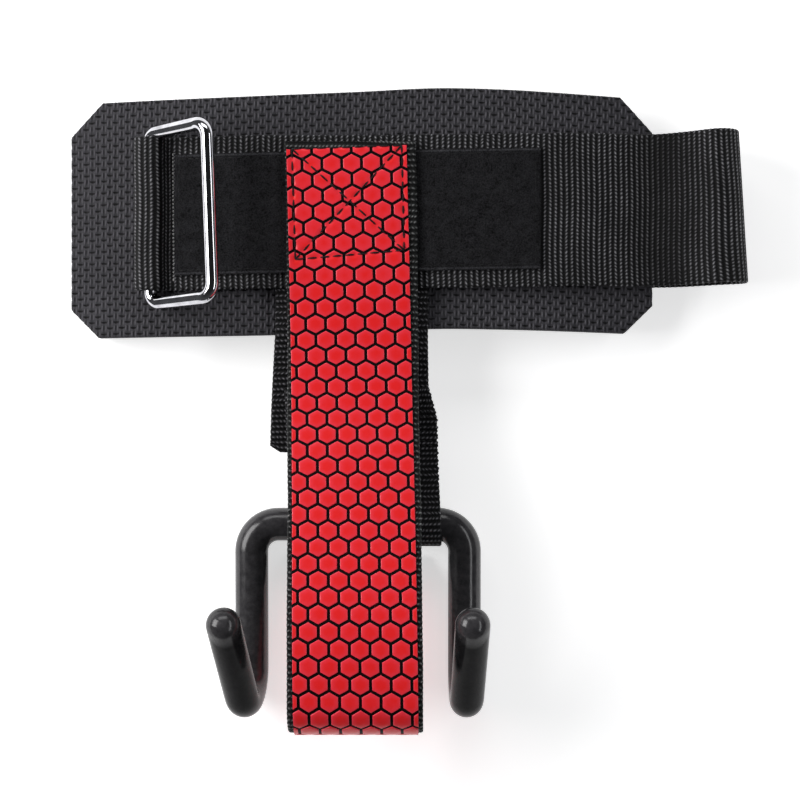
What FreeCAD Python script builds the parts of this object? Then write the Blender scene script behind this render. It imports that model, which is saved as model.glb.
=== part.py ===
import FreeCAD, Part
import math
import os

# Lifting wrist strap with a double hook, lying flat with its outer face up.
# X runs along the wrist band, from the ring towards the folded tail. Y runs from the
# hooks up to the pad. Z is up. The origin is at the middle of the base of the whole object.
# Paths of webbing are drawn in a plane: "run" is the distance along X for the wrist pieces
# and along -Y, towards the hooks, for the hanging pieces.

# ---------------------------------------------------------------- driving dimensions, mm

# foam pad, an octagon that arches over a flat middle
PAD_LEFT = -111.4
PAD_RIGHT = 82.3
PAD_LOW = 25.2
PAD_HIGH = 103.9
PAD_CUT_HIGH = 11.0
PAD_CUT_LOW = 9.5
LINING_THICK = 0.8
FOAM_THICK = 6.2
ARCH_HEIGHT = 11.0
ARCH_FLAT_LEFT = -40.0
ARCH_FLAT_RIGHT = 30.0
PAD_RIGHT_HEIGHT = 4.2

# webbing, patches and grip film
WEB_THICK = 1.6
LAYER_GAP = 0.1
BAND_WIDTH = 50.0
BAND_MIDDLE_Y = 64.3
PATCH_THICK = 1.4
PATCH_WIDTH = 39.5
PATCH_MIDDLE_Y = 64.6
PATCH_LEFT = -75.2
PATCH_RIGHT = 44.3
FILM_THICK = 0.7
THREAD = 0.5
SEAM_INSET = 1.6
SEAM_LIFT = 0.02

# ring and the webbing loop that holds its bar
RING_WIRE = 4.4
RING_HEIGHT = 57.6
RING_REACH = 27.0
RING_CORNER = 4.3
RING_MIDDLE_Y = 63.8
RING_BAR_X = -83.4
RING_TILT = 38.0
RING_PLAY = 0.3
UNDER_LEG_END_X = -52.0
LOOP_END_X = -84.6
LOOP_TOP_STRAIGHT = 4.6
LOOP_DROP_X = -74.5
LOOP_DROP_REACH = 3.7
LOOP_BEND = 2.5
RING_SEAM_X = -76.0

# fold at the band's right end and the tail that returns under the pad
FOLD_X = 102.6
FOLD_Z = 15.8
FOLD_RADIUS = 8.0
FOLD_RISE = 28.0
FOLD_EXIT = 25.0
BAND_LEAVES_PAD_X = 75.0
VALLEY_RADIUS = 15.0
TAIL_GAP = 1.8
TAIL_HEIGHT = 2.3
TAIL_LANDING_RADIUS = 15.0
TAIL_END_X = -20.0
TAIL_SEAM_XS = (-18.0, -15.0)
HOOK_PATCH_LEFT = -12.0
HOOK_PATCH_RIGHT = 62.0

# grip flap
FLAP_MIDDLE_X = -17.0
FLAP_WIDTH = 42.4
FILM_WIDTH = 39.2
FLAP_TOP_RUN = -85.7
FLAP_HINGE_RUN = -32.0
FLAP_HINGE_GAP = 1.0
FLAP_HINGE_LIFT = 0.2
FLAP_RISE_START = -8.0
FLAP_RISE_END = 74.0
FLAP_LOW_BEND = 120.0
FLAP_HIGH_BEND = 100.0
FLAP_FOLD_RUN = 92.9
FLAP_FOLD_Z = 38.6
FLAP_FOLD_RADIUS = 9.5
FLAP_RETURN = 31.0
FLAP_END_Z = 2.2
FLAP_HEM = 10.0
BOX_LEFT = -36.0
BOX_RIGHT = -1.0
BOX_LOW = 49.0
BOX_HIGH = 83.6

# hanger webbing and the loop round the hook's crossbar
HANGER_MIDDLE_X = -17.3
HANGER_WIDTH = 50.0
HANGER_TOP_RUN = -87.0
HANGER_HINGE_RUN = -23.5
HANGER_GAP = 1.8
HANGER_END_RUN = 15.5
HANGER_DROP = 15.4
LOOP_MIDDLE_X = -14.5
LOOP_END_RUN = -5.8
LOOP_RETURN = 11.3
LOOP_SMALL_BEND = 12.0
HANGER_SEAM_RUNS = (-3.5, 1.5, 6.5, 11.5)
CROSSBAR_PLAY = 0.3

# double hook
ROD_DIAMETER = 8.0
COAT_THICK = 1.5
CROSSBAR_Y = -39.6
HOOK_LEFT_X = -51.0
HOOK_RIGHT_X = 20.0
HOOK_TOP_BEND = 9.0
SHANK_LENGTH = 47.0
HOOK_BEND = 10.0
ARM_RISE = 43.0
ARM_LENGTH = 36.7
LEFT_LEAN = 7.2
RIGHT_LEAN = 1.5
REST_GAP = 0.02

# ---------------------------------------------------------------- values that follow

COAT_RADIUS = ROD_DIAMETER / 2 + COAT_THICK
LINING_TOP = LINING_THICK
FOAM_TOP = LINING_THICK + FOAM_THICK
UNDER_LOW = FOAM_TOP + LAYER_GAP
UNDER_MIDDLE = UNDER_LOW + WEB_THICK / 2
BAND_MIDDLE = UNDER_MIDDLE + WEB_THICK + LAYER_GAP
PATCH_LOW = BAND_MIDDLE + WEB_THICK / 2 + LAYER_GAP / 2
PATCH_TOP = PATCH_LOW + PATCH_THICK
FLAP_MIDDLE = PATCH_TOP + LAYER_GAP / 2 + WEB_THICK / 2
HALF_WEB = WEB_THICK / 2
CROSSBAR_WRAP = COAT_RADIUS + CROSSBAR_PLAY + HALF_WEB
CROSSBAR_Z = CROSSBAR_WRAP + HALF_WEB
HOOK_NOD = math.degrees(math.asin((CROSSBAR_Z - COAT_RADIUS - REST_GAP) / SHANK_LENGTH))


def arch_radius(length, fall):
    """Radius of an arc that starts level and falls by fall over length."""
    return (length ** 2 + fall ** 2) / (2 * fall)


LEFT_RADIUS = arch_radius(ARCH_FLAT_LEFT - PAD_LEFT, ARCH_HEIGHT)
RIGHT_RADIUS = arch_radius(PAD_RIGHT - ARCH_FLAT_RIGHT, ARCH_HEIGHT - PAD_RIGHT_HEIGHT)
LEFT_CENTRE = (ARCH_FLAT_LEFT, ARCH_HEIGHT - LEFT_RADIUS)
RIGHT_CENTRE = (ARCH_FLAT_RIGHT, ARCH_HEIGHT - RIGHT_RADIUS)

# ---------------------------------------------------------------- plane geometry


def on_circle(centre, radius, degrees):
    """Point of a circle at a polar angle."""
    angle = math.radians(degrees)
    return (centre[0] + radius * math.cos(angle), centre[1] + radius * math.sin(angle))


def step(point, degrees, distance):
    """Point reached from another by a distance in a direction."""
    return on_circle(point, distance, degrees)


def arc_corner(centre, radius, start, end):
    """Corner of a path whose rounding is the arc of a circle between two polar angles."""
    half = math.radians(abs(end - start) / 2)
    run, height = on_circle(centre, radius / math.cos(half), (start + end) / 2)
    return (run, height, radius)


def polar_at(centre, radius, run):
    """Polar angle of the upper point of a circle at a given run."""
    return 90 - math.degrees(math.asin((run - centre[0]) / radius))


def meet(point, degrees, other, other_degrees):
    """Crossing of two lines, each given by a point and a direction."""
    ax, ay = math.cos(math.radians(degrees)), math.sin(math.radians(degrees))
    bx, by = math.cos(math.radians(other_degrees)), math.sin(math.radians(other_degrees))
    dx, dy = other[0] - point[0], other[1] - point[1]
    distance = (dx * by - dy * bx) / (ax * by - ay * bx)
    return (point[0] + ax * distance, point[1] + ay * distance)


def left_of(direction):
    return FreeCAD.Vector(-direction.y, direction.x, 0)


def path_pieces(corners):
    """Straight runs and tangent arcs through corners of (run, height, radius).

    Each piece is a list of (point, normal): two for a straight run, three for an arc.
    The normal points to the left of the way along the path.
    """
    points = [FreeCAD.Vector(corner[0], corner[1], 0) for corner in corners]
    pieces = []
    start = points[0]
    for i in range(1, len(points) - 1):
        before = (points[i] - points[i - 1]).normalize()
        after = (points[i + 1] - points[i]).normalize()
        radius = corners[i][2]
        turn = math.atan2(before.x * after.y - before.y * after.x, before.dot(after))
        side = math.copysign(1, turn)
        reach = radius * math.tan(abs(turn) / 2)
        arc_start = points[i] - before * reach
        arc_end = points[i] + after * reach
        centre = arc_start + left_of(before) * side * radius
        outward = (points[i] - centre).normalize()
        if (arc_start - start).Length > 1e-4:
            pieces.append([(start, left_of(before)), (arc_start, left_of(before))])
        pieces.append([(arc_start, left_of(before)),
                       (centre + outward * radius, outward * -side),
                       (arc_end, left_of(after))])
        start = arc_end
    last = (points[-1] - points[-2]).normalize()
    if (points[-1] - start).Length > 1e-4:
        pieces.append([(start, left_of(last)), (points[-1], left_of(last))])
    return pieces


def along_x(point, y):
    """Place in space of a wrist piece's path point."""
    return FreeCAD.Vector(point.x, y, point.y)


def towards_hooks(point, x):
    """Place in space of a hanging piece's path point."""
    return FreeCAD.Vector(x, -point.x, point.y)


def ribbon(corners, low, high, place, side, width):
    """Strip that follows a path, between two offsets from it, swept over its width."""
    pieces = path_pieces(corners)

    def edge(piece, offset):
        ends = [place(point + normal * offset, side) for point, normal in piece]
        if len(ends) == 2:
            return Part.LineSegment(*ends).toShape()
        return Part.Arc(*ends).toShape()

    def cap(end):
        point, normal = end
        return Part.LineSegment(place(point + normal * low, side),
                                place(point + normal * high, side)).toShape()

    lower = [edge(piece, low) for piece in pieces]
    upper = [edge(piece, high) for piece in pieces]
    outline = lower + [cap(pieces[-1][-1])] + upper[::-1] + [cap(pieces[0][0])]
    return Part.Face(Part.Wire(outline)).extrude(width)


def wrist_ribbon(corners, low, high, y_low, y_high):
    width = FreeCAD.Vector(0, y_high - y_low, 0)
    return ribbon(corners, low, high, along_x, y_low, width)


def hanging_ribbon(corners, low, high, x_low, x_high):
    width = FreeCAD.Vector(x_high - x_low, 0, 0)
    return ribbon(corners, low, high, towards_hooks, x_low, width)


def block(x0, x1, y0, y1, z0, z1):
    return Part.makeBox(x1 - x0, y1 - y0, z1 - z0, FreeCAD.Vector(x0, y0, z0))


def band_edges(middle, width):
    return (middle - width / 2, middle + width / 2)


# ---------------------------------------------------------------- wrist pad and its layers

LEFT_END_ANGLE = polar_at(LEFT_CENTRE, LEFT_RADIUS, PAD_LEFT)
RIGHT_END_ANGLE = polar_at(RIGHT_CENTRE, RIGHT_RADIUS, PAD_RIGHT)
ARCH = [on_circle(LEFT_CENTRE, LEFT_RADIUS, LEFT_END_ANGLE) + (0,),
        arc_corner(LEFT_CENTRE, LEFT_RADIUS, LEFT_END_ANGLE, 90),
        arc_corner(RIGHT_CENTRE, RIGHT_RADIUS, 90, RIGHT_END_ANGLE),
        on_circle(RIGHT_CENTRE, RIGHT_RADIUS, RIGHT_END_ANGLE) + (0,)]
ABOVE_ALL = 60.0


def arched_layer(low, high, x0, x1, y0, y1):
    """Sheet that lies on the pad's arch between two heights above its underside."""
    return wrist_ribbon(ARCH, low, high, y0, y1).common(block(x0, x1, y0, y1, -ABOVE_ALL, ABOVE_ALL))


def pad_layer(low, high):
    """One layer of the pad, cut to its octagon."""
    outline = [(PAD_LEFT, PAD_LOW + PAD_CUT_LOW), (PAD_LEFT + PAD_CUT_LOW, PAD_LOW),
               (PAD_RIGHT - PAD_CUT_LOW, PAD_LOW), (PAD_RIGHT, PAD_LOW + PAD_CUT_LOW),
               (PAD_RIGHT, PAD_HIGH - PAD_CUT_HIGH), (PAD_RIGHT - PAD_CUT_HIGH, PAD_HIGH),
               (PAD_LEFT + PAD_CUT_HIGH, PAD_HIGH), (PAD_LEFT, PAD_HIGH - PAD_CUT_HIGH)]
    corners = [FreeCAD.Vector(x, y, -ABOVE_ALL) for x, y in outline]
    prism = Part.Face(Part.makePolygon(corners + corners[:1])).extrude(FreeCAD.Vector(0, 0, 2 * ABOVE_ALL))
    return wrist_ribbon(ARCH, low, high, PAD_LOW, PAD_HIGH).common(prism)


def thread_on_arch(height, x0, x1, y0, y1):
    """Run of thread that lies on the arched layers at a height above the pad's underside."""
    return arched_layer(height, height + THREAD / 2, x0, x1, y0, y1)


def edge_seam(run_thread, x0, x1, y0, y1):
    """Four runs of thread just inside a patch's edges, as a group of solids."""
    x0, x1 = x0 + SEAM_INSET, x1 - SEAM_INSET
    y0, y1 = y0 + SEAM_INSET, y1 - SEAM_INSET
    clear = THREAD
    return [run_thread(x0, x1, y0, y0 + THREAD),
            run_thread(x0, x1, y1 - THREAD, y1),
            run_thread(x0, x0 + THREAD, y0 + THREAD + clear, y1 - THREAD - clear),
            run_thread(x1 - THREAD, x1, y0 + THREAD + clear, y1 - THREAD - clear)]


# ---------------------------------------------------------------- wrist band

BAR_RADIUS = LEFT_RADIUS + UNDER_MIDDLE + RING_WIRE / 2 + RING_PLAY + HALF_WEB
BAR_ANGLE = polar_at(LEFT_CENTRE, BAR_RADIUS, RING_BAR_X)
BAR = on_circle(LEFT_CENTRE, BAR_RADIUS, BAR_ANGLE)
LOOP_ANGLE = polar_at(LEFT_CENTRE, BAR_RADIUS, LOOP_END_X)
LOOP_CENTRE = on_circle(LEFT_CENTRE, BAR_RADIUS, LOOP_ANGLE)
WRAP = RING_WIRE / 2 + RING_PLAY + HALF_WEB
FOLD = (FOLD_X, FOLD_Z)
FOLD_START = 90 + FOLD_RISE
FOLD_END = FOLD_EXIT - 90
TAIL_HINGE = on_circle(FOLD, FOLD_RADIUS, FOLD_END)


def wrist_band():
    """Webbing from its turned-under end, round the ring's bar, over the pad and round the fold."""
    under_radius = LEFT_RADIUS + UNDER_MIDDLE
    start_angle = polar_at(LEFT_CENTRE, under_radius, UNDER_LEG_END_X)
    loop_top = on_circle(LOOP_CENTRE, WRAP, LOOP_ANGLE)
    over_radius = LEFT_RADIUS + BAND_MIDDLE
    drop_angle = polar_at(LEFT_CENTRE, over_radius, LOOP_DROP_X)
    drop_end = on_circle(LEFT_CENTRE, over_radius, drop_angle)
    right_radius = RIGHT_RADIUS + BAND_MIDDLE
    leave_angle = polar_at(RIGHT_CENTRE, right_radius, BAND_LEAVES_PAD_X)
    leave = on_circle(RIGHT_CENTRE, right_radius, leave_angle)
    fold_entry = on_circle(FOLD, FOLD_RADIUS, FOLD_START)
    valley = meet(leave, leave_angle - 90, fold_entry, FOLD_RISE)
    half_gap = math.degrees(TAIL_GAP / 2 / FOLD_RADIUS)
    fold_middle = (FOLD_START + FOLD_END) / 2
    corners = [on_circle(LEFT_CENTRE, under_radius, start_angle) + (0,),
               arc_corner(LEFT_CENTRE, under_radius, start_angle, LOOP_ANGLE),
               arc_corner(LOOP_CENTRE, WRAP, LOOP_ANGLE + 180, LOOP_ANGLE + 90),
               arc_corner(LOOP_CENTRE, WRAP, LOOP_ANGLE + 90, LOOP_ANGLE),
               step(loop_top, LOOP_ANGLE - 90, LOOP_TOP_STRAIGHT) + (LOOP_BEND,),
               step(drop_end, drop_angle + 90, LOOP_DROP_REACH) + (LOOP_BEND,),
               arc_corner(LEFT_CENTRE, over_radius, drop_angle, 90),
               arc_corner(RIGHT_CENTRE, right_radius, 90, leave_angle),
               valley + (VALLEY_RADIUS,),
               arc_corner(FOLD, FOLD_RADIUS, FOLD_START, fold_middle),
               arc_corner(FOLD, FOLD_RADIUS, fold_middle, FOLD_END + half_gap),
               on_circle(FOLD, FOLD_RADIUS, FOLD_END + half_gap) + (0,)]
    return wrist_ribbon(corners, -HALF_WEB, HALF_WEB, *band_edges(BAND_MIDDLE_Y, BAND_WIDTH))


def band_tail():
    """Webbing from below the fold, down to the base and back under the pad."""
    heading = 180 + FOLD_EXIT
    landing = meet(TAIL_HINGE, heading, (0, TAIL_HEIGHT), 0)
    corners = [step(TAIL_HINGE, heading, TAIL_GAP / 2) + (0,),
               landing + (TAIL_LANDING_RADIUS,),
               (TAIL_END_X, TAIL_HEIGHT, 0)]
    return wrist_ribbon(corners, -HALF_WEB, HALF_WEB, *band_edges(BAND_MIDDLE_Y, BAND_WIDTH))


def ring_seam():
    """Two runs of thread across the band, beside the ring's loop."""
    y0, y1 = band_edges(BAND_MIDDLE_Y, BAND_WIDTH)
    top = BAND_MIDDLE + HALF_WEB + SEAM_LIFT
    return [thread_on_arch(top, RING_SEAM_X + shift, RING_SEAM_X + shift + THREAD,
                           y0 + SEAM_INSET, y1 - SEAM_INSET) for shift in (-THREAD, THREAD / 2)]


# ---------------------------------------------------------------- ring


def ring():
    """Closed wire ring, tilted about its bar."""
    half = RING_HEIGHT / 2
    wire = RING_WIRE / 2
    ends = [(0, -half), (RING_REACH, -half), (RING_REACH, half), (0, half)]
    solids = []
    for i, (u, v) in enumerate(ends):
        next_u, next_v = ends[(i + 1) % 4]
        start = FreeCAD.Vector(u, v, 0)
        along = FreeCAD.Vector(next_u - u, next_v - v, 0)
        length = along.Length - 2 * RING_CORNER
        along.normalize()
        first = start + along * RING_CORNER
        second = first + along * length
        solids.append(Part.makeCylinder(wire, length, first, along))
        inward = FreeCAD.Vector(-along.y, along.x, 0)
        section = Part.Face(Part.Wire(Part.makeCircle(wire, second, along)))
        centre = second + inward * RING_CORNER
        solids.append(section.revolve(centre, FreeCAD.Vector(0, 0, 1), 90))
    shape = solids[0].multiFuse(solids[1:]).removeSplitter()
    shape.rotate(FreeCAD.Vector(0, 0, 0), FreeCAD.Vector(0, 1, 0), -RING_TILT)
    shape.translate(FreeCAD.Vector(BAR[0], RING_MIDDLE_Y, BAR[1]))
    return shape


# ---------------------------------------------------------------- grip flap

FLAP_Z = ARCH_HEIGHT + FLAP_MIDDLE
FLAP_FOLD = (FLAP_FOLD_RUN, FLAP_FOLD_Z)
FLAP_TOP_Z = FLAP_FOLD_Z + FLAP_FOLD_RADIUS
FLAP_EXIT = FLAP_RETURN - 90
FLAP_HEADING = 180 + FLAP_RETURN


def flap_free_path(end_trim=0.0):
    """Path of the free flap from the hinge, over the hooks, round its fold and back down."""
    exit_point = on_circle(FLAP_FOLD, FLAP_FOLD_RADIUS, FLAP_EXIT)
    fold_middle = (90 + FLAP_EXIT) / 2
    end = meet(exit_point, FLAP_HEADING, (0, FLAP_END_Z), 0)
    return [(FLAP_HINGE_RUN + FLAP_HINGE_GAP / 2, FLAP_Z, 0),
            (FLAP_RISE_START, FLAP_Z, FLAP_LOW_BEND),
            (FLAP_RISE_END, FLAP_TOP_Z, FLAP_HIGH_BEND),
            arc_corner(FLAP_FOLD, FLAP_FOLD_RADIUS, 90, fold_middle),
            arc_corner(FLAP_FOLD, FLAP_FOLD_RADIUS, fold_middle, FLAP_EXIT),
            step(end, FLAP_HEADING + 180, end_trim) + (0,)]


def flap_root_path():
    return [(FLAP_TOP_RUN, FLAP_Z, 0), (FLAP_HINGE_RUN - FLAP_HINGE_GAP / 2, FLAP_Z, 0)]


def flap_strap():
    """Free webbing of the flap, its end turned in as a hem."""
    x0, x1 = band_edges(FLAP_MIDDLE_X, FLAP_WIDTH)
    strap = hanging_ribbon(flap_free_path(), -HALF_WEB, HALF_WEB, x0, x1)
    end = flap_free_path()[-1][:2]
    hem_path = [step(end, FLAP_HEADING + 180, FLAP_HEM) + (0,), end + (0,)]
    hem = hanging_ribbon(hem_path, HALF_WEB, HALF_WEB + WEB_THICK, x0, x1)
    return strap.fuse(hem).removeSplitter()


def flap_tip_seam():
    """Two runs of thread across the flap's hem, on its inner face."""
    x0, x1 = band_edges(FLAP_MIDDLE_X, FLAP_WIDTH - 2 * SEAM_INSET)
    end = flap_free_path()[-1][:2]
    back = FLAP_HEADING + 180
    solids = []
    for distance in (FLAP_HEM / 4, FLAP_HEM * 3 / 4):
        path = [step(end, back, distance + THREAD) + (0,), step(end, back, distance) + (0,)]
        solids.append(hanging_ribbon(path, -HALF_WEB - THREAD / 2, -HALF_WEB, x0, x1))
    return solids


def box_seam():
    """Box and cross of thread on the sewn end of the flap."""
    z0 = FLAP_Z + HALF_WEB + FILM_THICK
    z1 = z0 + THREAD / 2
    clear = 2 * THREAD
    solids = [block(BOX_LEFT, BOX_RIGHT, BOX_LOW, BOX_LOW + THREAD, z0, z1),
              block(BOX_LEFT, BOX_RIGHT, BOX_HIGH - THREAD, BOX_HIGH, z0, z1),
              block(BOX_LEFT, BOX_LEFT + THREAD, BOX_LOW + clear, BOX_HIGH - clear, z0, z1),
              block(BOX_RIGHT - THREAD, BOX_RIGHT, BOX_LOW + clear, BOX_HIGH - clear, z0, z1)]
    middle = FreeCAD.Vector((BOX_LEFT + BOX_RIGHT) / 2, (BOX_LOW + BOX_HIGH) / 2, 0)
    reach = math.hypot(BOX_RIGHT - BOX_LEFT, BOX_HIGH - BOX_LOW) / 2 - 2 * clear
    slope = math.degrees(math.atan2(BOX_HIGH - BOX_LOW, BOX_RIGHT - BOX_LEFT))
    cross = [block(-reach, reach, -THREAD / 2, THREAD / 2, z0, z1),
             block(clear, reach, -THREAD / 2, THREAD / 2, z0, z1),
             block(-reach, -clear, -THREAD / 2, THREAD / 2, z0, z1)]
    for bar, angle in zip(cross, (slope, -slope, -slope)):
        bar.rotate(FreeCAD.Vector(0, 0, 0), FreeCAD.Vector(0, 0, 1), angle)
        bar.translate(middle)
    return solids + cross


# ---------------------------------------------------------------- hanger and hook loop

HANGER_Z = ARCH_HEIGHT + UNDER_MIDDLE
HANGER_HINGE = (HANGER_HINGE_RUN, HANGER_Z)
CROSSBAR = (-CROSSBAR_Y, CROSSBAR_Z)
PLY_STEP = WEB_THICK + LAYER_GAP


def hanger_line(run, offset):
    """Point of the hanger's sloping line at a run, moved off it by an offset."""
    slope = math.radians(HANGER_DROP)
    height = HANGER_Z - (run - HANGER_HINGE_RUN) * math.tan(slope)
    return (run, height + offset / math.cos(slope))


def hanger_root():
    x0, x1 = band_edges(HANGER_MIDDLE_X, HANGER_WIDTH)
    y0, y1 = -HANGER_HINGE_RUN + HANGER_GAP / 2, -HANGER_TOP_RUN
    return block(x0, x1, y0, y1, HANGER_Z - HALF_WEB, HANGER_Z + HALF_WEB)


def hanger_strap():
    start = step(HANGER_HINGE, -HANGER_DROP, HANGER_GAP / 2)
    path = [start + (0,), hanger_line(HANGER_END_RUN, 0) + (0,)]
    return hanging_ribbon(path, -HALF_WEB, HALF_WEB, *band_edges(HANGER_MIDDLE_X, HANGER_WIDTH))


def hook_loop():
    """Webbing that runs under the hanger, round the crossbar and back over the hanger."""
    rear = hanger_line(LOOP_END_RUN, -PLY_STEP)
    front = hanger_line(LOOP_END_RUN, PLY_STEP)
    landing = meet(rear, -HANGER_DROP, (0, HALF_WEB), 0)
    leave_angle = 90 + LOOP_RETURN
    half_way = (leave_angle - 90) / 2
    leave = on_circle(CROSSBAR, CROSSBAR_WRAP, leave_angle)
    valley = meet(leave, 180 + LOOP_RETURN, front, -HANGER_DROP)
    corners = [rear + (0,),
               landing + (LOOP_SMALL_BEND,),
               arc_corner(CROSSBAR, CROSSBAR_WRAP, -90, half_way),
               arc_corner(CROSSBAR, CROSSBAR_WRAP, half_way, leave_angle),
               valley + (LOOP_SMALL_BEND,),
               front + (0,)]
    return hanging_ribbon(corners, -HALF_WEB, HALF_WEB, *band_edges(LOOP_MIDDLE_X, HANGER_WIDTH))


def hanger_seam():
    """Four runs of thread across the loop's front ply, where it lies on the hanger."""
    x0, x1 = band_edges(LOOP_MIDDLE_X, HANGER_WIDTH - 2 * SEAM_INSET)
    low = PLY_STEP + HALF_WEB
    solids = []
    for run in HANGER_SEAM_RUNS:
        path = [hanger_line(run, 0) + (0,), hanger_line(run + THREAD, 0) + (0,)]
        solids.append(hanging_ribbon(path, low, low + THREAD / 2, x0, x1))
    return solids


# ---------------------------------------------------------------- double hook


def rod_along(corners, radius):
    """Round rod through 3-D corners of (point, bend radius), made of straights and bends."""
    points = [corner[0] for corner in corners]
    solids = []
    start = points[0]
    for i in range(1, len(points) - 1):
        before = (points[i] - points[i - 1]).normalize()
        after = (points[i + 1] - points[i]).normalize()
        bend = corners[i][1]
        turn = before.getAngle(after)
        reach = bend * math.tan(turn / 2)
        bend_start = points[i] - before * reach
        axis = before.cross(after).normalize()
        centre = bend_start + axis.cross(before) * bend
        solids.append(Part.makeCylinder(radius, (bend_start - start).Length, start, before))
        section = Part.Face(Part.Wire(Part.makeCircle(radius, bend_start, before)))
        solids.append(section.revolve(centre, axis, math.degrees(turn)))
        start = points[i] + after * reach
    last = (points[-1] - start)
    solids.append(Part.makeCylinder(radius, last.Length, start, last))
    return solids


def hook_corners():
    """Corners of the whole rod from the left tip to the right tip, and the two tips."""
    turn = 180 - ARM_RISE
    reach = HOOK_BEND * math.tan(math.radians(turn / 2))
    rise = math.radians(ARM_RISE)
    sides = []
    for x, lean in ((HOOK_LEFT_X, -LEFT_LEAN), (HOOK_RIGHT_X, RIGHT_LEAN)):
        low = FreeCAD.Vector(x, -SHANK_LENGTH - reach, 0)
        arm = FreeCAD.Vector(0, math.cos(rise), math.sin(rise)) * (reach + ARM_LENGTH)
        tilt = FreeCAD.Rotation(FreeCAD.Vector(0, 1, 0), lean)
        sides.append([(FreeCAD.Vector(x, 0, 0), HOOK_TOP_BEND), (low, HOOK_BEND),
                      (low + tilt.multVec(arm), 0)])
    left, right = sides
    return left[::-1] + right


def hook_rod(radius, dome_radius, shorten):
    """Rod of the double hook, resting on its two bends, with rounded ends."""
    corners = hook_corners()
    if shorten:
        for end, inner in ((0, 1), (-1, -2)):
            back = (corners[inner][0] - corners[end][0]).normalize() * shorten
            corners[end] = (corners[end][0] + back, 0)
    solids = rod_along(corners, radius)
    if dome_radius:
        solids += [Part.makeSphere(dome_radius, corners[end][0]) for end in (0, -1)]
    rod = solids[0].multiFuse(solids[1:]).removeSplitter()
    rod.rotate(FreeCAD.Vector(0, 0, 0), FreeCAD.Vector(1, 0, 0), HOOK_NOD)
    rod.translate(FreeCAD.Vector(0, CROSSBAR_Y, CROSSBAR_Z))
    return rod


# ---------------------------------------------------------------- all sub-parts

band_low, band_high = band_edges(BAND_MIDDLE_Y, BAND_WIDTH)
patch_low, patch_high = band_edges(PATCH_MIDDLE_Y, PATCH_WIDTH)
flap_edges = band_edges(FLAP_MIDDLE_X, FLAP_WIDTH)
film_edges = band_edges(FLAP_MIDDLE_X, FILM_WIDTH)
FILM_LOW, FILM_TOP = HALF_WEB, HALF_WEB + FILM_THICK


def patch_thread(x0, x1, y0, y1):
    return thread_on_arch(PATCH_TOP, x0, x1, y0, y1)


def hook_patch_thread(x0, x1, y0, y1):
    return block(x0, x1, y0, y1, HOOK_PATCH_Z, HOOK_PATCH_Z + THREAD / 2)


HOOK_PATCH_Z = TAIL_HEIGHT + HALF_WEB
HOOK_PATCH_LOW = TAIL_HEIGHT - HALF_WEB - LAYER_GAP - PATCH_THICK
hook_patch_block = block(HOOK_PATCH_LEFT, HOOK_PATCH_RIGHT, patch_low, patch_high,
                         HOOK_PATCH_LOW, HOOK_PATCH_LOW + PATCH_THICK)
tail_seam = [block(x, x + THREAD, band_low + SEAM_INSET, band_high - SEAM_INSET, HOOK_PATCH_Z,
                   HOOK_PATCH_Z + THREAD / 2) for x in TAIL_SEAM_XS]
patch_seam_runs = edge_seam(patch_thread, PATCH_LEFT, PATCH_RIGHT, patch_low, patch_high)
flap_cover = block(flap_edges[0] - THREAD, flap_edges[1] + THREAD, 0, -FLAP_TOP_RUN + THREAD, 0, ABOVE_ALL)
loop_patch_seam = [piece for run in patch_seam_runs for piece in run.cut(flap_cover).Solids]
hook_core = hook_rod(ROD_DIAMETER / 2, 0, COAT_THICK)
hook_coating = hook_rod(COAT_RADIUS, COAT_RADIUS, 0).cut(hook_core)

NODES = {
    "pad_lining": pad_layer(0, LINING_TOP),
    "pad_foam": pad_layer(LINING_TOP, FOAM_TOP),
    "wrist_band": wrist_band(),
    "ring_loop_stitching": Part.makeCompound(ring_seam()),
    "loop_patch": arched_layer(PATCH_LOW, PATCH_TOP, PATCH_LEFT, PATCH_RIGHT, patch_low, patch_high),
    "loop_patch_stitching": Part.makeCompound(loop_patch_seam),
    "hanger_root": hanger_root(),
    "flap_root": hanging_ribbon(flap_root_path(), -HALF_WEB, HALF_WEB, *flap_edges),
    "flap_root_grip": hanging_ribbon(flap_root_path(), FILM_LOW, FILM_TOP, *film_edges),
    "flap_box_stitching": Part.makeCompound(box_seam()),
    "ring": ring(),
    "band_tail": band_tail(),
    "hook_patch": hook_patch_block,
    "hook_patch_stitching": Part.makeCompound(
        edge_seam(hook_patch_thread, HOOK_PATCH_LEFT, HOOK_PATCH_RIGHT, patch_low, patch_high)),
    "tail_end_stitching": Part.makeCompound(tail_seam),
    "flap_strap": flap_strap(),
    "flap_grip": hanging_ribbon(flap_free_path(FLAP_HEM + 2), FILM_LOW, FILM_TOP, *film_edges),
    "flap_tip_stitching": Part.makeCompound(flap_tip_seam()),
    "hanger_strap": hanger_strap(),
    "hook_loop": hook_loop(),
    "hanger_stitching": Part.makeCompound(hanger_seam()),
    "hook_core": hook_core,
    "hook_coating": hook_coating,
}

os.makedirs("parts", exist_ok=True)
for name, shape in NODES.items():
    shape.exportStep(f"parts/{name}.step")
    box = shape.optimalBoundingBox(False, False)
    print(f"{name:22s} valid {shape.isValid()} solids {len(shape.Solids)} volume {shape.Volume:9.1f}",
          f"x {box.XMin:7.2f} {box.XMax:7.2f} y {box.YMin:7.2f} {box.YMax:7.2f}",
          f"z {box.ZMin:6.2f} {box.ZMax:6.2f}")

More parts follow.
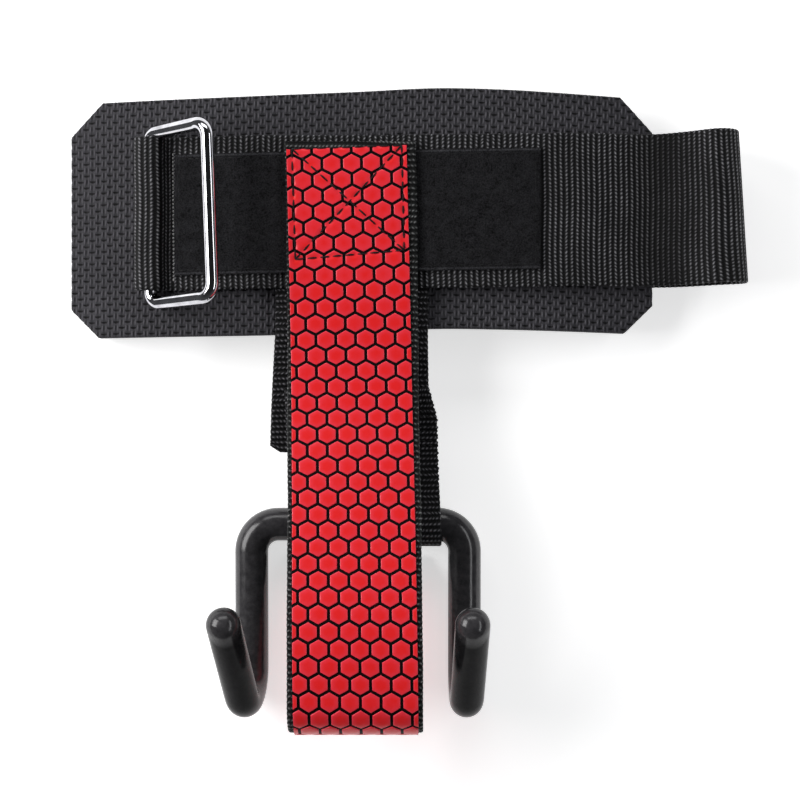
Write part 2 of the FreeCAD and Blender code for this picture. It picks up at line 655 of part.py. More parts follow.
print("ring hinge", BAR[0], RING_MIDDLE_Y, BAR[1])
print("tail hinge", TAIL_HINGE)
print("flap hinge y, z", -FLAP_HINGE_RUN, FLAP_Z + HALF_WEB + FILM_THICK + FLAP_HINGE_LIFT)
print("hanger hinge y, z", -HANGER_HINGE_RUN, HANGER_Z)
print("crossbar y, z", CROSSBAR_Y, CROSSBAR_Z)
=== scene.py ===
import bpy
import math
import random
import numpy as np
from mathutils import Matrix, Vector


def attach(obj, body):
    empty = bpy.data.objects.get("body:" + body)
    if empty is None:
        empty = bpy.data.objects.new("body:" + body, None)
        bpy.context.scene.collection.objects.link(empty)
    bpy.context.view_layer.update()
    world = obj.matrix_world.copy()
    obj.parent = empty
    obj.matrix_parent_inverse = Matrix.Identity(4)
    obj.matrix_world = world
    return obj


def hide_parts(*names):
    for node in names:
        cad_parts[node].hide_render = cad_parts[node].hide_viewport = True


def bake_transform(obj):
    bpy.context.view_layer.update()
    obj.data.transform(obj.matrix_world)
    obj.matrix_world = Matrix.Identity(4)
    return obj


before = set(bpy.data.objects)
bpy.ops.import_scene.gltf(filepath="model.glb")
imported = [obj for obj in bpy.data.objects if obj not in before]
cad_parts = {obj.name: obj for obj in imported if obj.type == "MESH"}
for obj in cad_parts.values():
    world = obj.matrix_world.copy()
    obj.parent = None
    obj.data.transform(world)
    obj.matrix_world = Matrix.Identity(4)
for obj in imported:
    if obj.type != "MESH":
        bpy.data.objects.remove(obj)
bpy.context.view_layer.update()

# Pieces are drawn in millimetres in the row frame and scaled once, in make_mesh. The studio is in metres.
MM = 0.001
TAU = 2 * math.pi

# ---------------------------------------------------------------- sizes, as in the CAD

PAD_LEFT, PAD_RIGHT, PAD_LOW, PAD_HIGH = -111.4, 82.3, 25.2, 103.9
CUT_HIGH, CUT_LOW = 11.0, 9.5
LINING_TOP, FOAM_TOP = 0.8, 7.0
ARCH_HEIGHT, ARCH_LEFT, ARCH_RIGHT = 11.0, -40.0, 30.0
LEFT_RADIUS, RIGHT_RADIUS = 237.2, 204.5
LEFT_CENTRE = (ARCH_LEFT, ARCH_HEIGHT - LEFT_RADIUS)
RIGHT_CENTRE = (ARCH_RIGHT, ARCH_HEIGHT - RIGHT_RADIUS)
WEB, HALF_WEB = 1.6, 0.8
UNDER_MIDDLE, BAND_MIDDLE, FLAP_MIDDLE = 7.9, 9.6, 12.7
PATCH_LOW, PATCH_TOP = 10.3, 11.85
BAND_Y, BAND_WIDTH = 64.3, 50.0
PATCH_Y, PATCH_WIDTH, PATCH_LEFT, PATCH_RIGHT = 64.6, 39.5, -75.2, 44.3
RING_BAR_X, LOOP_END_X, UNDER_LEG_END_X, LOOP_DROP_X, BAND_LEAVES_PAD_X = -83.4, -84.6, -52.0, -74.5, 75.0
LOOP_TOP_STRAIGHT, LOOP_DROP_REACH, LOOP_BEND, VALLEY_RADIUS = 4.6, 3.7, 2.5, 15.0
HOOK_PATCH_LEFT, HOOK_PATCH_RIGHT, HOOK_PATCH_TOP = -12.0, 62.0, 1.4
FILM_THICK = 0.7
# Pitch of the webbing's ribs, lean of its floats across one rib, and one cell of the foam's embossing.
RIB, SLANT = 1.83, 0.825
COLUMN, ROW = 2.05, 1.97

# ---------------------------------------------------------------- plane paths


def on_circle(centre, radius, degrees):
    """Point of a circle at a polar angle."""
    a = math.radians(degrees)
    return (centre[0] + radius * math.cos(a), centre[1] + radius * math.sin(a))


def arc_corner(centre, radius, start, end):
    """Corner of a path whose rounding is an arc between two polar angles."""
    half = math.radians(abs(end - start) / 2)
    return on_circle(centre, radius / math.cos(half), (start + end) / 2) + (radius,)


def polar_at(centre, radius, run):
    """Polar angle of a circle's upper point at a run."""
    return 90 - math.degrees(math.asin((run - centre[0]) / radius))


def meet(point, degrees, other, other_degrees):
    """Crossing of two lines, each given by a point and a direction."""
    ax, ay = math.cos(math.radians(degrees)), math.sin(math.radians(degrees))
    bx, by = math.cos(math.radians(other_degrees)), math.sin(math.radians(other_degrees))
    dx, dy = other[0] - point[0], other[1] - point[1]
    distance = (dx * by - dy * bx) / (ax * by - ay * bx)
    return (point[0] + ax * distance, point[1] + ay * distance)


class Path:
    """Straights and tangent arcs through corners of (run, height, radius)."""

    def __init__(self, corners):
        points = [np.array(c[:2], float) for c in corners]
        self.starts, self.points, self.headings, self.bends = [0.0], [], [], []
        place = points[0]
        for i in range(1, len(points)):
            before = points[i] - points[i - 1]
            before = before / np.linalg.norm(before)
            heading = math.atan2(before[1], before[0])
            if i == len(points) - 1:
                self.add(np.linalg.norm(points[i] - place), place, heading, 0)
                break
            after = points[i + 1] - points[i]
            after = after / np.linalg.norm(after)
            turn = math.atan2(before[0] * after[1] - before[1] * after[0], before @ after)
            radius = corners[i][2]
            reach = radius * math.tan(abs(turn) / 2)
            arc_start = points[i] - before * reach
            self.add(np.linalg.norm(arc_start - place), place, heading, 0)
            self.add(radius * abs(turn), arc_start, heading, math.copysign(1 / radius, turn))
            place = points[i] + after * reach
        self.length = self.starts[-1]

    def add(self, length, start, heading, bend):
        if length > 1e-4:
            self.points.append(start)
            self.headings.append(heading)
            self.bends.append(bend)
            self.starts.append(self.starts[-1] + float(length))

    def at(self, s):
        """Points and left-hand normals at distances along the path."""
        s = np.clip(np.asarray(s, float), 0, self.length)
        k = np.clip(np.searchsorted(self.starts, s, side="right") - 1, 0, len(self.points) - 1)
        d = s - np.array(self.starts)[k]
        heading, bend = np.array(self.headings)[k], np.array(self.bends)[k]
        now = heading + bend * d
        straight = np.abs(bend) < 1e-9
        safe = np.where(straight, 1.0, bend)
        dx = np.where(straight, d * np.cos(heading), (np.sin(now) - np.sin(heading)) / safe)
        dy = np.where(straight, d * np.sin(heading), (np.cos(heading) - np.cos(now)) / safe)
        point = np.array(self.points)[k] + np.stack([dx, dy], -1)
        return point, np.stack([-np.sin(now), np.cos(now)], -1)


# ---------------------------------------------------------------- how the soft pieces lie
# The wrist pieces and the flap don't lie square: each has a small turn and bow of its own.


def smooth_curve(x, knots):
    """Smooth line through (x, y) knots, level beyond its ends."""
    xs, ys = np.array([k[0] for k in knots], float), np.array([k[1] for k in knots], float)
    slopes = np.gradient(ys, xs)
    x = np.clip(x, xs[0], xs[-1])
    i = np.clip(np.searchsorted(xs, x, side="right") - 1, 0, len(xs) - 2)
    h = xs[i + 1] - xs[i]
    t = (x - xs[i]) / h
    return ((2 * t**3 - 3 * t**2 + 1) * ys[i] + (t**3 - 2 * t**2 + t) * h * slopes[i]
            + (3 * t**2 - 2 * t**3) * ys[i + 1] + (t**3 - t**2) * h * slopes[i + 1])


PAD_BOW = [(-112, -2.9), (-80, -2.5), (-44, -2.0), (-15, -1.1), (12, 0.1), (31, -0.1), (50, -0.6), (83, -1.7)]
BAND_BOW = [(-95, -1.6), (-57, -1.35), (0, -0.9), (64, -0.2), (82, 0.1), (108, 1.0)]
PATCH_BOW = [(-76, -2.4), (45, -0.3)]
PAD_TAPER = [(-112, -0.8), (-75, -0.65), (-30, 0.0), (25, 0.0), (60, -0.75), (83, -1.0)]


def lay_pad(p):
    """The pad's bow, and its narrower ends."""
    rise = (p[..., 1] - PAD_LOW) / (PAD_HIGH - PAD_LOW)
    p[..., 1] += smooth_curve(p[..., 0], PAD_BOW) + rise * smooth_curve(p[..., 0], PAD_TAPER)
    return p


def lay_band(p):
    """The band's bow, and the slant of its folded edge."""
    fold = np.clip((p[..., 0] - 84) / 24, 0, 1)
    p[..., 0] += fold * fold * (BAND_Y - p[..., 1]) * 0.062
    p[..., 1] += smooth_curve(p[..., 0], BAND_BOW)
    return p


def lay_patch(p):
    p[..., 1] += smooth_curve(p[..., 0], PATCH_BOW)
    return p


def lay_flap(p):
    p[..., 0] += (44 - p[..., 1]) * 0.0123 - 0.07
    return p


def lay_hanger(p):
    """The hanger spreads a little below the pad, and its lower left corner is rounded."""
    down = np.maximum(24 - p[..., 1], 0)
    side = (p[..., 0] - HANGER_X) / HANGER_WIDTH
    p[..., 0] += down * (-0.022 + 0.09 * side)
    corner = np.clip((p[..., 0] + 44.5) / 4, 0, 1)
    p[..., 1] += np.clip((-12 - p[..., 1]) / 4, 0, 1) * (1 - corner) ** 2 * 2.4
    return p


def lay_hook_loop(p):
    """The loop turns out to the right, and its upper right corner is pulled in and worn."""
    p[..., 0] += (-10 - p[..., 1]) * 0.03 + 0.55
    worn = np.clip((p[..., 1] + 4) / 10, 0, 1)
    right = np.clip((p[..., 0] - 4) / 7, 0, 1)
    p[..., 0] -= worn * right * 2.6
    p[..., 0] += right**4 * 0.16 * (np.sin(p[..., 1] * 2.3) + np.sin(p[..., 1] * 5.1 + 1)) * (p[..., 1] > -26)
    return p


# ---------------------------------------------------------------- meshes


def add(name, data):
    """New object in the scene."""
    thing = bpy.data.objects.new(name, data)
    bpy.context.scene.collection.objects.link(thing)
    return thing


def make_mesh(name, points, faces, flat=None, sharp=50):
    """New object from points in mm, faces pointing outwards, and optional flat coordinates in mm."""
    mesh = bpy.data.meshes.new(name)
    mesh.from_pydata((np.asarray(points, float) * MM).tolist(), [], [list(map(int, f)) for f in faces])
    mesh.update()
    if signed_volume(mesh) < 0:
        mesh.flip_normals()
    if flat is not None:
        flat = np.asarray(flat, float)
        if flat.shape[1] == 2:
            flat = np.hstack([flat, np.zeros((len(flat), 1))])
        mesh.attributes.new("flat", "FLOAT_VECTOR", "POINT").data.foreach_set(
            "vector", flat.astype(np.float32).ravel())
    mesh.shade_smooth()
    mesh.set_sharp_from_angle(angle=math.radians(sharp))
    return add(name, mesh)


def signed_volume(mesh):
    mesh.calc_loop_triangles()
    p = np.zeros(len(mesh.vertices) * 3)
    mesh.vertices.foreach_get("co", p)
    t = np.zeros(len(mesh.loop_triangles) * 3, np.int32)
    mesh.loop_triangles.foreach_get("vertices", t)
    a, b, c = (p.reshape(-1, 3)[t.reshape(-1, 3)[:, i]] for i in range(3))
    return float((a * np.cross(b, c)).sum())


def slab_faces(n, m):
    """Faces of a closed slab: an upper grid of n by m points, then a lower grid of as many."""
    i, j = np.meshgrid(np.arange(n - 1), np.arange(m - 1), indexing="ij")
    a = (i * m + j).ravel()
    upper = np.stack([a, a + m, a + m + 1, a + 1], -1)
    lower = upper[:, ::-1] + n * m
    ring = ([k * m for k in range(n)] + [(n - 1) * m + k for k in range(1, m)]
            + [k * m + m - 1 for k in range(n - 2, -1, -1)] + list(range(m - 2, 0, -1)))
    ring = np.array(ring)
    after = np.roll(ring, -1)
    wall = np.stack([after, ring, ring + n * m, after + n * m], -1)
    return np.vstack([upper, lower, wall])


def slab(name, upper, lower, flat):
    n, m = upper.shape[:2]
    points = np.vstack([upper.reshape(-1, 3), lower.reshape(-1, 3)])
    flat = flat.reshape(-1, 2)
    both = np.vstack([np.hstack([flat, np.zeros((n * m, 1))]), np.hstack([flat, np.ones((n * m, 1))])])
    return make_mesh(name, points, slab_faces(n, m), both)


def plain_backed(name, upper, lower, flat):
    """Slab with a fine grid on top and, below, one long face for each of its columns."""
    n, m = upper.shape[:2]
    first = n * m
    faces = []
    for i in range(n - 1):
        a, b = i * m, (i + 1) * m
        faces += [[a + j, b + j, b + j + 1, a + j + 1] for j in range(m - 1)]
        under, beyond = first + 2 * i, first + 2 * i + 2
        faces.append([under, under + 1, beyond + 1, beyond])
        faces.append([a, under, beyond, b])
        faces.append([b + m - 1, beyond + 1, under + 1, a + m - 1])
    faces.append([j for j in range(m)] + [first + 1, first])
    faces.append([(n - 1) * m + j for j in reversed(range(m))] + [first + 2 * n - 2, first + 2 * n - 1])
    points = np.vstack([upper.reshape(-1, 3), lower.reshape(-1, 3)])
    places = np.vstack([flat.reshape(-1, 2), flat[:, [0, -1]].reshape(-1, 2)])
    return make_mesh(name, points, faces, places, sharp=60)


def spaced(low, high, pitch):
    return np.linspace(low, high, max(2, int(math.ceil((high - low) / pitch)) + 1))


def across(width, edge):
    """Places across a strip, closer together over its rounded edges."""
    half = width / 2
    inner = spaced(-half + edge, half - edge, 2.6)
    turn = np.sin(np.linspace(0, math.pi / 2, 5))[1:] * edge
    return np.concatenate([-(half - edge) - turn[::-1], inner, half - edge + turn])


def along_x(point, side):
    return np.stack(np.broadcast_arrays(point[..., 0], side, point[..., 1]), -1)


def towards_hooks(point, side):
    return np.stack(np.broadcast_arrays(side, -point[..., 0], point[..., 1]), -1)


def wander(s, seed, size, period):
    """Small smooth waver along a length, the same on every run."""
    pick = random.Random(seed)
    total = np.zeros_like(s)
    for k in range(1, 5):
        total += math.sin(k) * np.sin(s * TAU * k / period / 1.7 + pick.uniform(0, TAU)) / k
    return total * size


def strip(name, path, middle, width, place, lay, seed, start=0.0, half=HALF_WEB, centre=0.0):
    """Webbing along a path to its end, with its ribs, rounded edges and beaded selvages."""
    s = spaced(start, path.length, RIB / 6)
    v = across(width, half * 0.9)
    point, normal = path.at(s)
    waver = wander(s, seed, 0.14, 60)
    edge = np.clip((np.abs(v) - (width / 2 - half * 0.9)) / (half * 0.9), 0, 1)
    round_off = np.sqrt(np.maximum(0.0, 1 - edge**2)) * 0.88 + 0.12
    skew = wander(v, seed + 7, 0.5, 70)
    u = s[:, None] + skew[None, :]
    rib = 0.5 + 0.5 * np.cos(TAU * u / RIB)
    thick = half * round_off[None, :] - 0.2 * (1 - rib) * round_off[None, :]
    bead = 0.12 * (rib - 0.5) * (edge[None, :] ** 2) * np.sign(v)[None, :]
    side = middle + v[None, :] + waver[:, None] + bead
    upper = place(point[:, None, :] + normal[:, None, :] * (centre + thick)[..., None], side)
    lower = place(point[:, None, :] + normal[:, None, :] * (centre - thick)[..., None], side)
    flat = np.stack([u, np.broadcast_to(v, u.shape)], -1)
    return slab(name, lay(upper), lay(lower), flat)


def stitch_line(places, normal, length=2.6, gap=1.0, thick=0.42, rise=0.16):
    """Stitches along a line of points in mm: (points, faces) of one small arched thread each."""
    places = np.asarray(places, float)
    steps = np.linalg.norm(np.diff(places, axis=0), axis=1)
    s = np.concatenate([[0], np.cumsum(steps)])
    count = max(1, int(round((s[-1] + gap) / (length + gap))))
    pitch = (s[-1] + gap) / count
    rings, sides = 7, 6
    points, faces = [], []
    for k in range(count):
        ends = (k * pitch, k * pitch + pitch - gap)
        t = np.linspace(0, 1, rings)
        at = ends[0] + (ends[1] - ends[0]) * t
        line = np.stack([np.interp(at, s, places[:, c]) for c in range(3)], -1)
        up = np.stack([np.interp(at, s, np.broadcast_to(normal, places.shape)[:, c]) for c in range(3)], -1)
        up /= np.linalg.norm(up, axis=1)[:, None]
        line = line + up * (np.sin(math.pi * t) * rise - thick * 0.1)[:, None]
        tangent = np.gradient(line, axis=0)
        tangent /= np.linalg.norm(tangent, axis=1)[:, None]
        side = np.cross(tangent, up)
        side /= np.linalg.norm(side, axis=1)[:, None]
        radius = thick / 2 * (0.35 + 0.65 * np.sqrt(np.sin(math.pi * np.clip(t, 0.04, 0.96))))
        base = k * rings * sides
        angle = np.arange(sides) * TAU / sides
        ring = (line[:, None, :] + side[:, None, :] * (np.cos(angle)[None, :] * radius[:, None])[..., None]
                + up[:, None, :] * (np.sin(angle)[None, :] * radius[:, None])[..., None])
        points.append(ring.reshape(-1, 3))
        for i in range(rings - 1):
            for j in range(sides):
                j2 = (j + 1) % sides
                faces.append([base + i * sides + j, base + i * sides + j2,
                              base + (i + 1) * sides + j2, base + (i + 1) * sides + j])
        faces.append([base + j for j in range(sides)][::-1])
        faces.append([base + (rings - 1) * sides + j for j in range(sides)])
    return np.vstack(points), faces


def join_parts(parts):
    """Several (points, faces) as one."""
    points, faces, base = [], [], 0
    for p, f in parts:
        points.append(p)
        faces += [[i + base for i in face] for face in f]
        base += len(p)
    return np.vstack(points), faces


# ---------------------------------------------------------------- materials


class Value:
    """A number in a node tree. Plain arithmetic on it adds the math nodes."""

    def __init__(self, mat, socket):
        self.mat, self.socket = mat, socket

    def of(self, operation, *others, clamp=False):
        return self.mat.math(operation, self, *others, clamp=clamp)

    def __add__(self, other):
        return self.of("ADD", other)

    def __sub__(self, other):
        return self.of("SUBTRACT", other)

    def __rsub__(self, other):
        return self.mat.math("SUBTRACT", other, self)

    def __mul__(self, other):
        return self.of("MULTIPLY", other)

    def __truediv__(self, other):
        return self.of("DIVIDE", other)

    def __pow__(self, other):
        return self.of("POWER", other)

    def __abs__(self):
        return self.of("ABSOLUTE")


def coloured(node):
    """A node's colour output."""
    return next(o for o in node.outputs if o.type == "RGBA")


class Mat:
    """A node material with short names for what it is built from."""

    def __init__(self, name, **sockets):
        self.material = bpy.data.materials.new(name)
        self.material.use_nodes = True
        self.tree = self.material.node_tree
        self.shader = self.tree.nodes["Principled BSDF"]
        for socket, value in sockets.items():
            self.put(self.shader.inputs[socket.replace("_", " ")], value)

    def put(self, socket, value):
        if isinstance(value, Value):
            value = value.socket
        if isinstance(value, bpy.types.NodeSocket):
            self.tree.links.new(value, socket)
        else:
            socket.default_value = value

    def node(self, kind, inputs, **settings):
        made = self.tree.nodes.new(kind)
        for key, value in settings.items():
            setattr(made, key, value)
        for key, value in inputs.items():
            self.put(made.inputs[key], value)
        return made

    def math(self, operation, *values, clamp=False):
        made = self.node("ShaderNodeMath", dict(enumerate(values)), operation=operation, use_clamp=clamp)
        return Value(self, made.outputs[0])

    def flat(self):
        """The flat coordinates of the cloth, in mm: along, across, side."""
        return self.node("ShaderNodeAttribute", {}, attribute_name="flat").outputs["Vector"]

    def rest(self):
        """The row frame's coordinates, for a piece that rides rigidly."""
        return self.node("ShaderNodeTexCoord", {}).outputs["Object"]

    def parts(self, vector):
        return [Value(self, part) for part in self.node("ShaderNodeSeparateXYZ", {0: vector}).outputs]

    def noise(self, vector, scale, detail=3.0, rough=0.55, distortion=0.0):
        made = self.node("ShaderNodeTexNoise", {"Vector": vector, "Scale": scale, "Detail": detail,
                                                "Roughness": rough, "Distortion": distortion})
        return Value(self, made.outputs[0])

    def near(self, value, width):
        """1 where a value is 0, falling smoothly to 0 at a width."""
        made = self.node("ShaderNodeMapRange", {"Value": abs(value), "From Min": 0.0, "From Max": width,
                                                "To Min": 1.0, "To Max": 0.0}, interpolation_type="SMOOTHSTEP")
        return Value(self, made.outputs[0])

    def wavered(self, vector, size, scale):
        """A vector with a slow waver."""
        noise = self.node("ShaderNodeTexNoise", {"Vector": vector, "Scale": scale, "Detail": 1.0})
        made = self.node("ShaderNodeVectorMath", {0: coloured(noise), 1: (2 * size, 2 * size, 0), 2: vector},
                         operation="MULTIPLY_ADD")
        return made.outputs[0]

    def ramp(self, value, low, high, at=(0.0, 1.0)):
        """Colour from low to high as a value goes between two numbers."""
        part = self.node("ShaderNodeMapRange", {"Value": value, "From Min": at[0], "From Max": at[1]}, clamp=True)
        return coloured(self.node("ShaderNodeMix", {"Factor": part.outputs[0], "A": (*low, 1), "B": (*high, 1)},
                                  data_type="RGBA"))

    def shade(self, colour, value):
        """A colour times a value."""
        return coloured(self.node("ShaderNodeMix", {"Factor": 1, "A": colour, "B": value},
                                  data_type="RGBA", blend_type="MULTIPLY"))

    def finish(self, colour, rough, bump=None):
        """Links the shader's inputs. A bump is (height, strength, distance in mm)."""
        self.put(self.shader.inputs["Base Color"], colour)
        self.put(self.shader.inputs["Roughness"], rough)
        if bump:
            made = self.node("ShaderNodeBump", {"Height": bump[0], "Strength": bump[1], "Distance": bump[2] * MM})
            self.put(self.shader.inputs["Normal"], made.outputs[0])
        return self.material


def webbing_material(name, dark, light, dot=1.3, fuzz=0.02, valley_shade=None):
    """Ribbed webbing: columns of small slanted floats, dot mm apart, with twill lines between them, dark with
    painted shade. The colour follows the relief: painted shade in the twill lines and grooves, painted sheen on the
    floats' tops.

    The last argument gives the middle and half width, in mm along the webbing, of a stretch darkened with painted
    shade, where the band dips into the valley past the pad's end."""
    m = Mat(name, Sheen_Weight=fuzz, Sheen_Roughness=0.45, Specular_IOR_Level=0.12)
    flat = m.flat()
    u, v, _ = m.parts(flat)
    columns = u / RIB + 0.5
    column = columns.of("FLOOR")
    f = columns - column - 0.5
    own = m.noise(m.node("ShaderNodeCombineXYZ", {0: column}).outputs[0], 3.1, 0)
    turn = own.of("GREATER_THAN", 0.5) * 2.0 - 1.0
    lean = f * turn * SLANT
    phase = v / dot + lean + (own * 3.3 + (m.noise(flat, 0.3, 2) - 0.5) * 1.2)
    dots = ((phase * TAU).of("COSINE") * 0.5 + 0.5) ** 1.4
    rib = (f * math.pi).of("COSINE").of("MAXIMUM", 0.0) ** 4.5
    twill = ((lean * 3.0 + v / (dot / 2)) * TAU).of("COSINE")
    height = rib * (dots * 0.80 + 0.26) + (1.0 - rib) * (twill * 0.07 + 0.055)
    strands = m.noise(flat, 7.0, 3, 0.6)
    tint = m.noise(flat, 0.085, 3, 0.6) * 1.5 + 0.22
    # Painted shade: a stretch of the webbing darkened where the band dips into the valley past the pad's end.
    if valley_shade is not None:
        tint = tint * (m.near(u - valley_shade[0], valley_shade[1]) * -0.68 + 1.0)
    # Colour follows the relief: painted shade in the grooves, painted sheen on the floats' tops.
    painted_sheen_and_shade = height ** 1.7 * (strands * 1.1 + 0.45)
    return m.finish(m.shade(m.ramp(painted_sheen_and_shade, dark, light), tint), strands * 0.25 + 0.42,
                    (height + strands * 0.16, 0.9, 0.4))


def foam_material():
    """Embossed foam rubber: the basket weave's slits and bumps, on top of its relief, with painted shade in the
    slits and painted highlight on the bumps.
    """
    m = Mat("foam rubber", Specular_IOR_Level=0.2)
    flat = m.flat()
    x, y, _ = m.parts(m.wavered(flat, 0.35, 0.12))
    columns, rows = x / COLUMN, y / ROW
    column, row = columns.of("FLOOR"), rows.of("FLOOR")
    f, g = columns - column - 0.5, rows - row - 0.5
    odd = abs((column + row).of("MODULO", 2.0))
    dash = m.near(g - f * f * 0.35, 0.24) * m.near(f, 0.85) * (1.0 - odd)
    slit = m.near(f, 0.17) * m.near(g, 0.75) * odd
    ridge = m.near(abs(f) - 0.30, 0.22) * m.near(g, 0.95) * (odd * 0.65 + 0.35)
    height = (ridge * 0.42 + 0.50 - slit * 0.26 - dash * 0.78).of("MAXIMUM", 0.0)
    fine = m.noise(flat, 4.0, 4, 0.65)
    # Colour follows the emboss: painted shade in the slits and dashes, painted highlight on the raised ridges.
    painted_relief_light = height ** 1.4 * (fine * 1.1 + 0.45)
    colour = m.shade(m.ramp(painted_relief_light, (0.0028, 0.0028, 0.0032), (0.090, 0.087, 0.100)),
                     m.noise(flat, 0.05, 3) * 0.5 + 0.75)
    return m.finish(colour, fine * 0.3 + 0.42, (fine * 0.25 + height, 1.0, 0.45))


def lining_material():
    """Fine knitted lining on the pad's underside."""
    m = Mat("knitted lining", Sheen_Weight=0.03, Sheen_Roughness=0.4, Specular_IOR_Level=0.12)
    flat = m.flat()
    u, v, _ = m.parts(flat)
    wale = abs((u * (math.pi / 0.9)).of("SINE"))
    course = (v * (TAU / 0.8) + wale * 1.8).of("SINE") * 0.5 + 0.5
    height = wale * (course * 0.6 + 0.4)
    colour = m.shade(m.ramp(height, (0.006, 0.006, 0.007), (0.034, 0.034, 0.038)),
                     m.noise(flat, 0.1, 3) * 0.5 + 0.75)
    return m.finish(colour, height * -0.2 + 0.85, (height, 0.8, 0.25))


def pile_material(name, dark, light, scale):
    """Brushed pile with a woven selvage: a tangle of loops, or rows of small hooks."""
    m = Mat(name, Sheen_Weight=0.02, Sheen_Roughness=0.35, Specular_IOR_Level=0.08)
    flat = m.flat()
    tangle = m.noise(flat, scale, 5, 0.7, 0.6)
    loops = Value(m, m.node("ShaderNodeTexVoronoi", {"Vector": flat, "Scale": scale * 0.8}).outputs["Distance"])
    height = tangle - loops * 0.5
    # The colour is part random tone and part the pile's height: painted highlight on the tops of the loops and
    # painted shade between them.
    colour = m.ramp(m.noise(flat, scale / 9, 3, 0.6) * 0.5 + height * 0.9, dark, light, (0.2, 0.9))
    selvage = m.near(abs(m.parts(flat)[1] - PATCH_Y) - (PATCH_WIDTH / 2 - 0.6), 0.55)
    colour = m.shade(colour, selvage * (loops * 2.2 + 0.6) + 1.0)
    return m.finish(colour, tangle * 0.2 + 0.75, (height, 1.0, 0.55))


def thread_material(name, dark, light):
    m = Mat(name, Sheen_Weight=0.02, Specular_IOR_Level=0.3)
    twist = m.noise(m.rest(), 2600, 2)
    return m.finish(m.ramp(twist, dark, light, (0.35, 0.75)), twist * 0.3 + 0.3, (twist, 0.5, 0.1))


def film_material():
    """Black ground of the grip film, between its raised cells."""
    m = Mat("film ground", Specular_IOR_Level=0.08)
    grain = m.noise(m.flat(), 3.5, 4)
    colour = m.ramp(grain, (0.0015, 0.0013, 0.0013), (0.006, 0.005, 0.005), (0.3, 0.8))
    return m.finish(colour, grain * 0.3 + 0.4, (grain, 0.4, 0.1))


def cell_material():
    """Glossy red cells of the grip: a pinker rim, which is painted highlight, turning deeper red towards their
    middles, and unevenly printed.
    """
    m = Mat("red grip cells", Specular_IOR_Level=0.3, Coat_Weight=0.1, Coat_Roughness=0.16)
    flat = m.flat()
    rise = Value(m, m.node("ShaderNodeAttribute", {}, attribute_name="crown").outputs["Fac"])
    grain = m.noise(flat, 5.0, 3)
    # Painted highlight: where crown is low, at the rim, the red turns pinker; the middles are deeper red, with
    # uneven print over both.
    colour = m.ramp(m.noise(flat, 0.22, 3) * 0.55 + rise * 0.6,
                    (0.88, 0.052, 0.088), (0.86, 0.019, 0.021), (0.2, 0.85))
    return m.finish(colour, grain * 0.14 + 0.25, (grain, 0.25, 0.05))


def chrome_material():
    """Polished chrome with a faint haze of wear."""
    m = Mat("polished chrome", Metallic=1.0)
    wear = m.noise(m.rest(), 260, 4, 0.6)
    colour = m.ramp(wear, (0.42, 0.42, 0.45), (0.62, 0.62, 0.65), (0.3, 0.6))
    return m.finish(colour, wear * 0.05 + 0.03, (m.noise(m.rest(), 90, 2), 0.03, 0.3))


def vinyl_material():
    """Dipped black vinyl: glossy, with faint ripples and rubbed marks. Painted shade darkens the arms and lowers
    their gloss; the bend, shanks and tip domes keep a slightly lighter colour, a painted highlight.
    """
    m = Mat("dipped vinyl")
    rest = m.rest()
    rub = m.noise(rest, 420, 5, 0.7)
    # Painted shade: over a band up the arms the colour drops to about a third and the gloss is lowered; elsewhere
    # the colour is lifted a little as painted highlight.
    arm = (m.near(m.parts(rest)[2] - 0.0325, 0.022)).of("MULTIPLY", 6.0, clamp=True)
    colour = m.ramp(rub, (0.026, 0.025, 0.027), (0.052, 0.050, 0.0535), (0.35, 0.75))
    m.put(m.shader.inputs["Specular IOR Level"], arm * -0.37 + 0.42)
    return m.finish(m.shade(colour, arm * -0.80 + 1.12), rub ** 2.0 * 0.3 + 0.12,
                    (m.noise(rest, 120, 2), 0.12, 0.8))


def steel_material():
    m = Mat("drawn steel", Metallic=1.0)
    lines = m.noise(m.rest(), 900, 2)
    return m.finish(m.ramp(lines, (0.35, 0.35, 0.36), (0.6, 0.6, 0.62)), lines * 0.2 + 0.3, (lines, 0.2, 0.05))


# Each webbing's dark colour is its painted shade in the grooves, and its light colour is its painted sheen on the
# floats.
CARRIER_WEB = webbing_material("carrier webbing", (0.003, 0.003, 0.0033), (0.22, 0.214, 0.232))
FLAP_WEB = webbing_material("flap webbing", (0.003, 0.0035, 0.0035), (0.21, 0.217, 0.217), fuzz=0.05)
LOOP_PILE = pile_material("loop pile", (0.002, 0.002, 0.0023), (0.041, 0.041, 0.045), 2.6)
HOOK_PILE = pile_material("hook pile", (0.006, 0.006, 0.0065), (0.035, 0.035, 0.037), 2.2)
THREAD = thread_material("black thread", (0.003, 0.003, 0.0033), (0.016, 0.016, 0.017))
BRIGHT_THREAD = thread_material("nylon thread", (0.06, 0.06, 0.062), (0.85, 0.85, 0.85))


def dress(piece, material, body=None, nodes=()):
    """Gives a piece its material, slot, body and the CAD nodes it stands for."""
    piece.data.materials.clear()
    piece.data.materials.append(material)
    if body:
        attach(piece, body)
    if nodes:
        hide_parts(*nodes)
    return piece


def sew(name, parts, body, node, material=None):
    """One piece out of several runs of stitches."""
    return dress(make_mesh(name, *join_parts(parts)), material or THREAD, body, [node])


# ---------------------------------------------------------------- pad


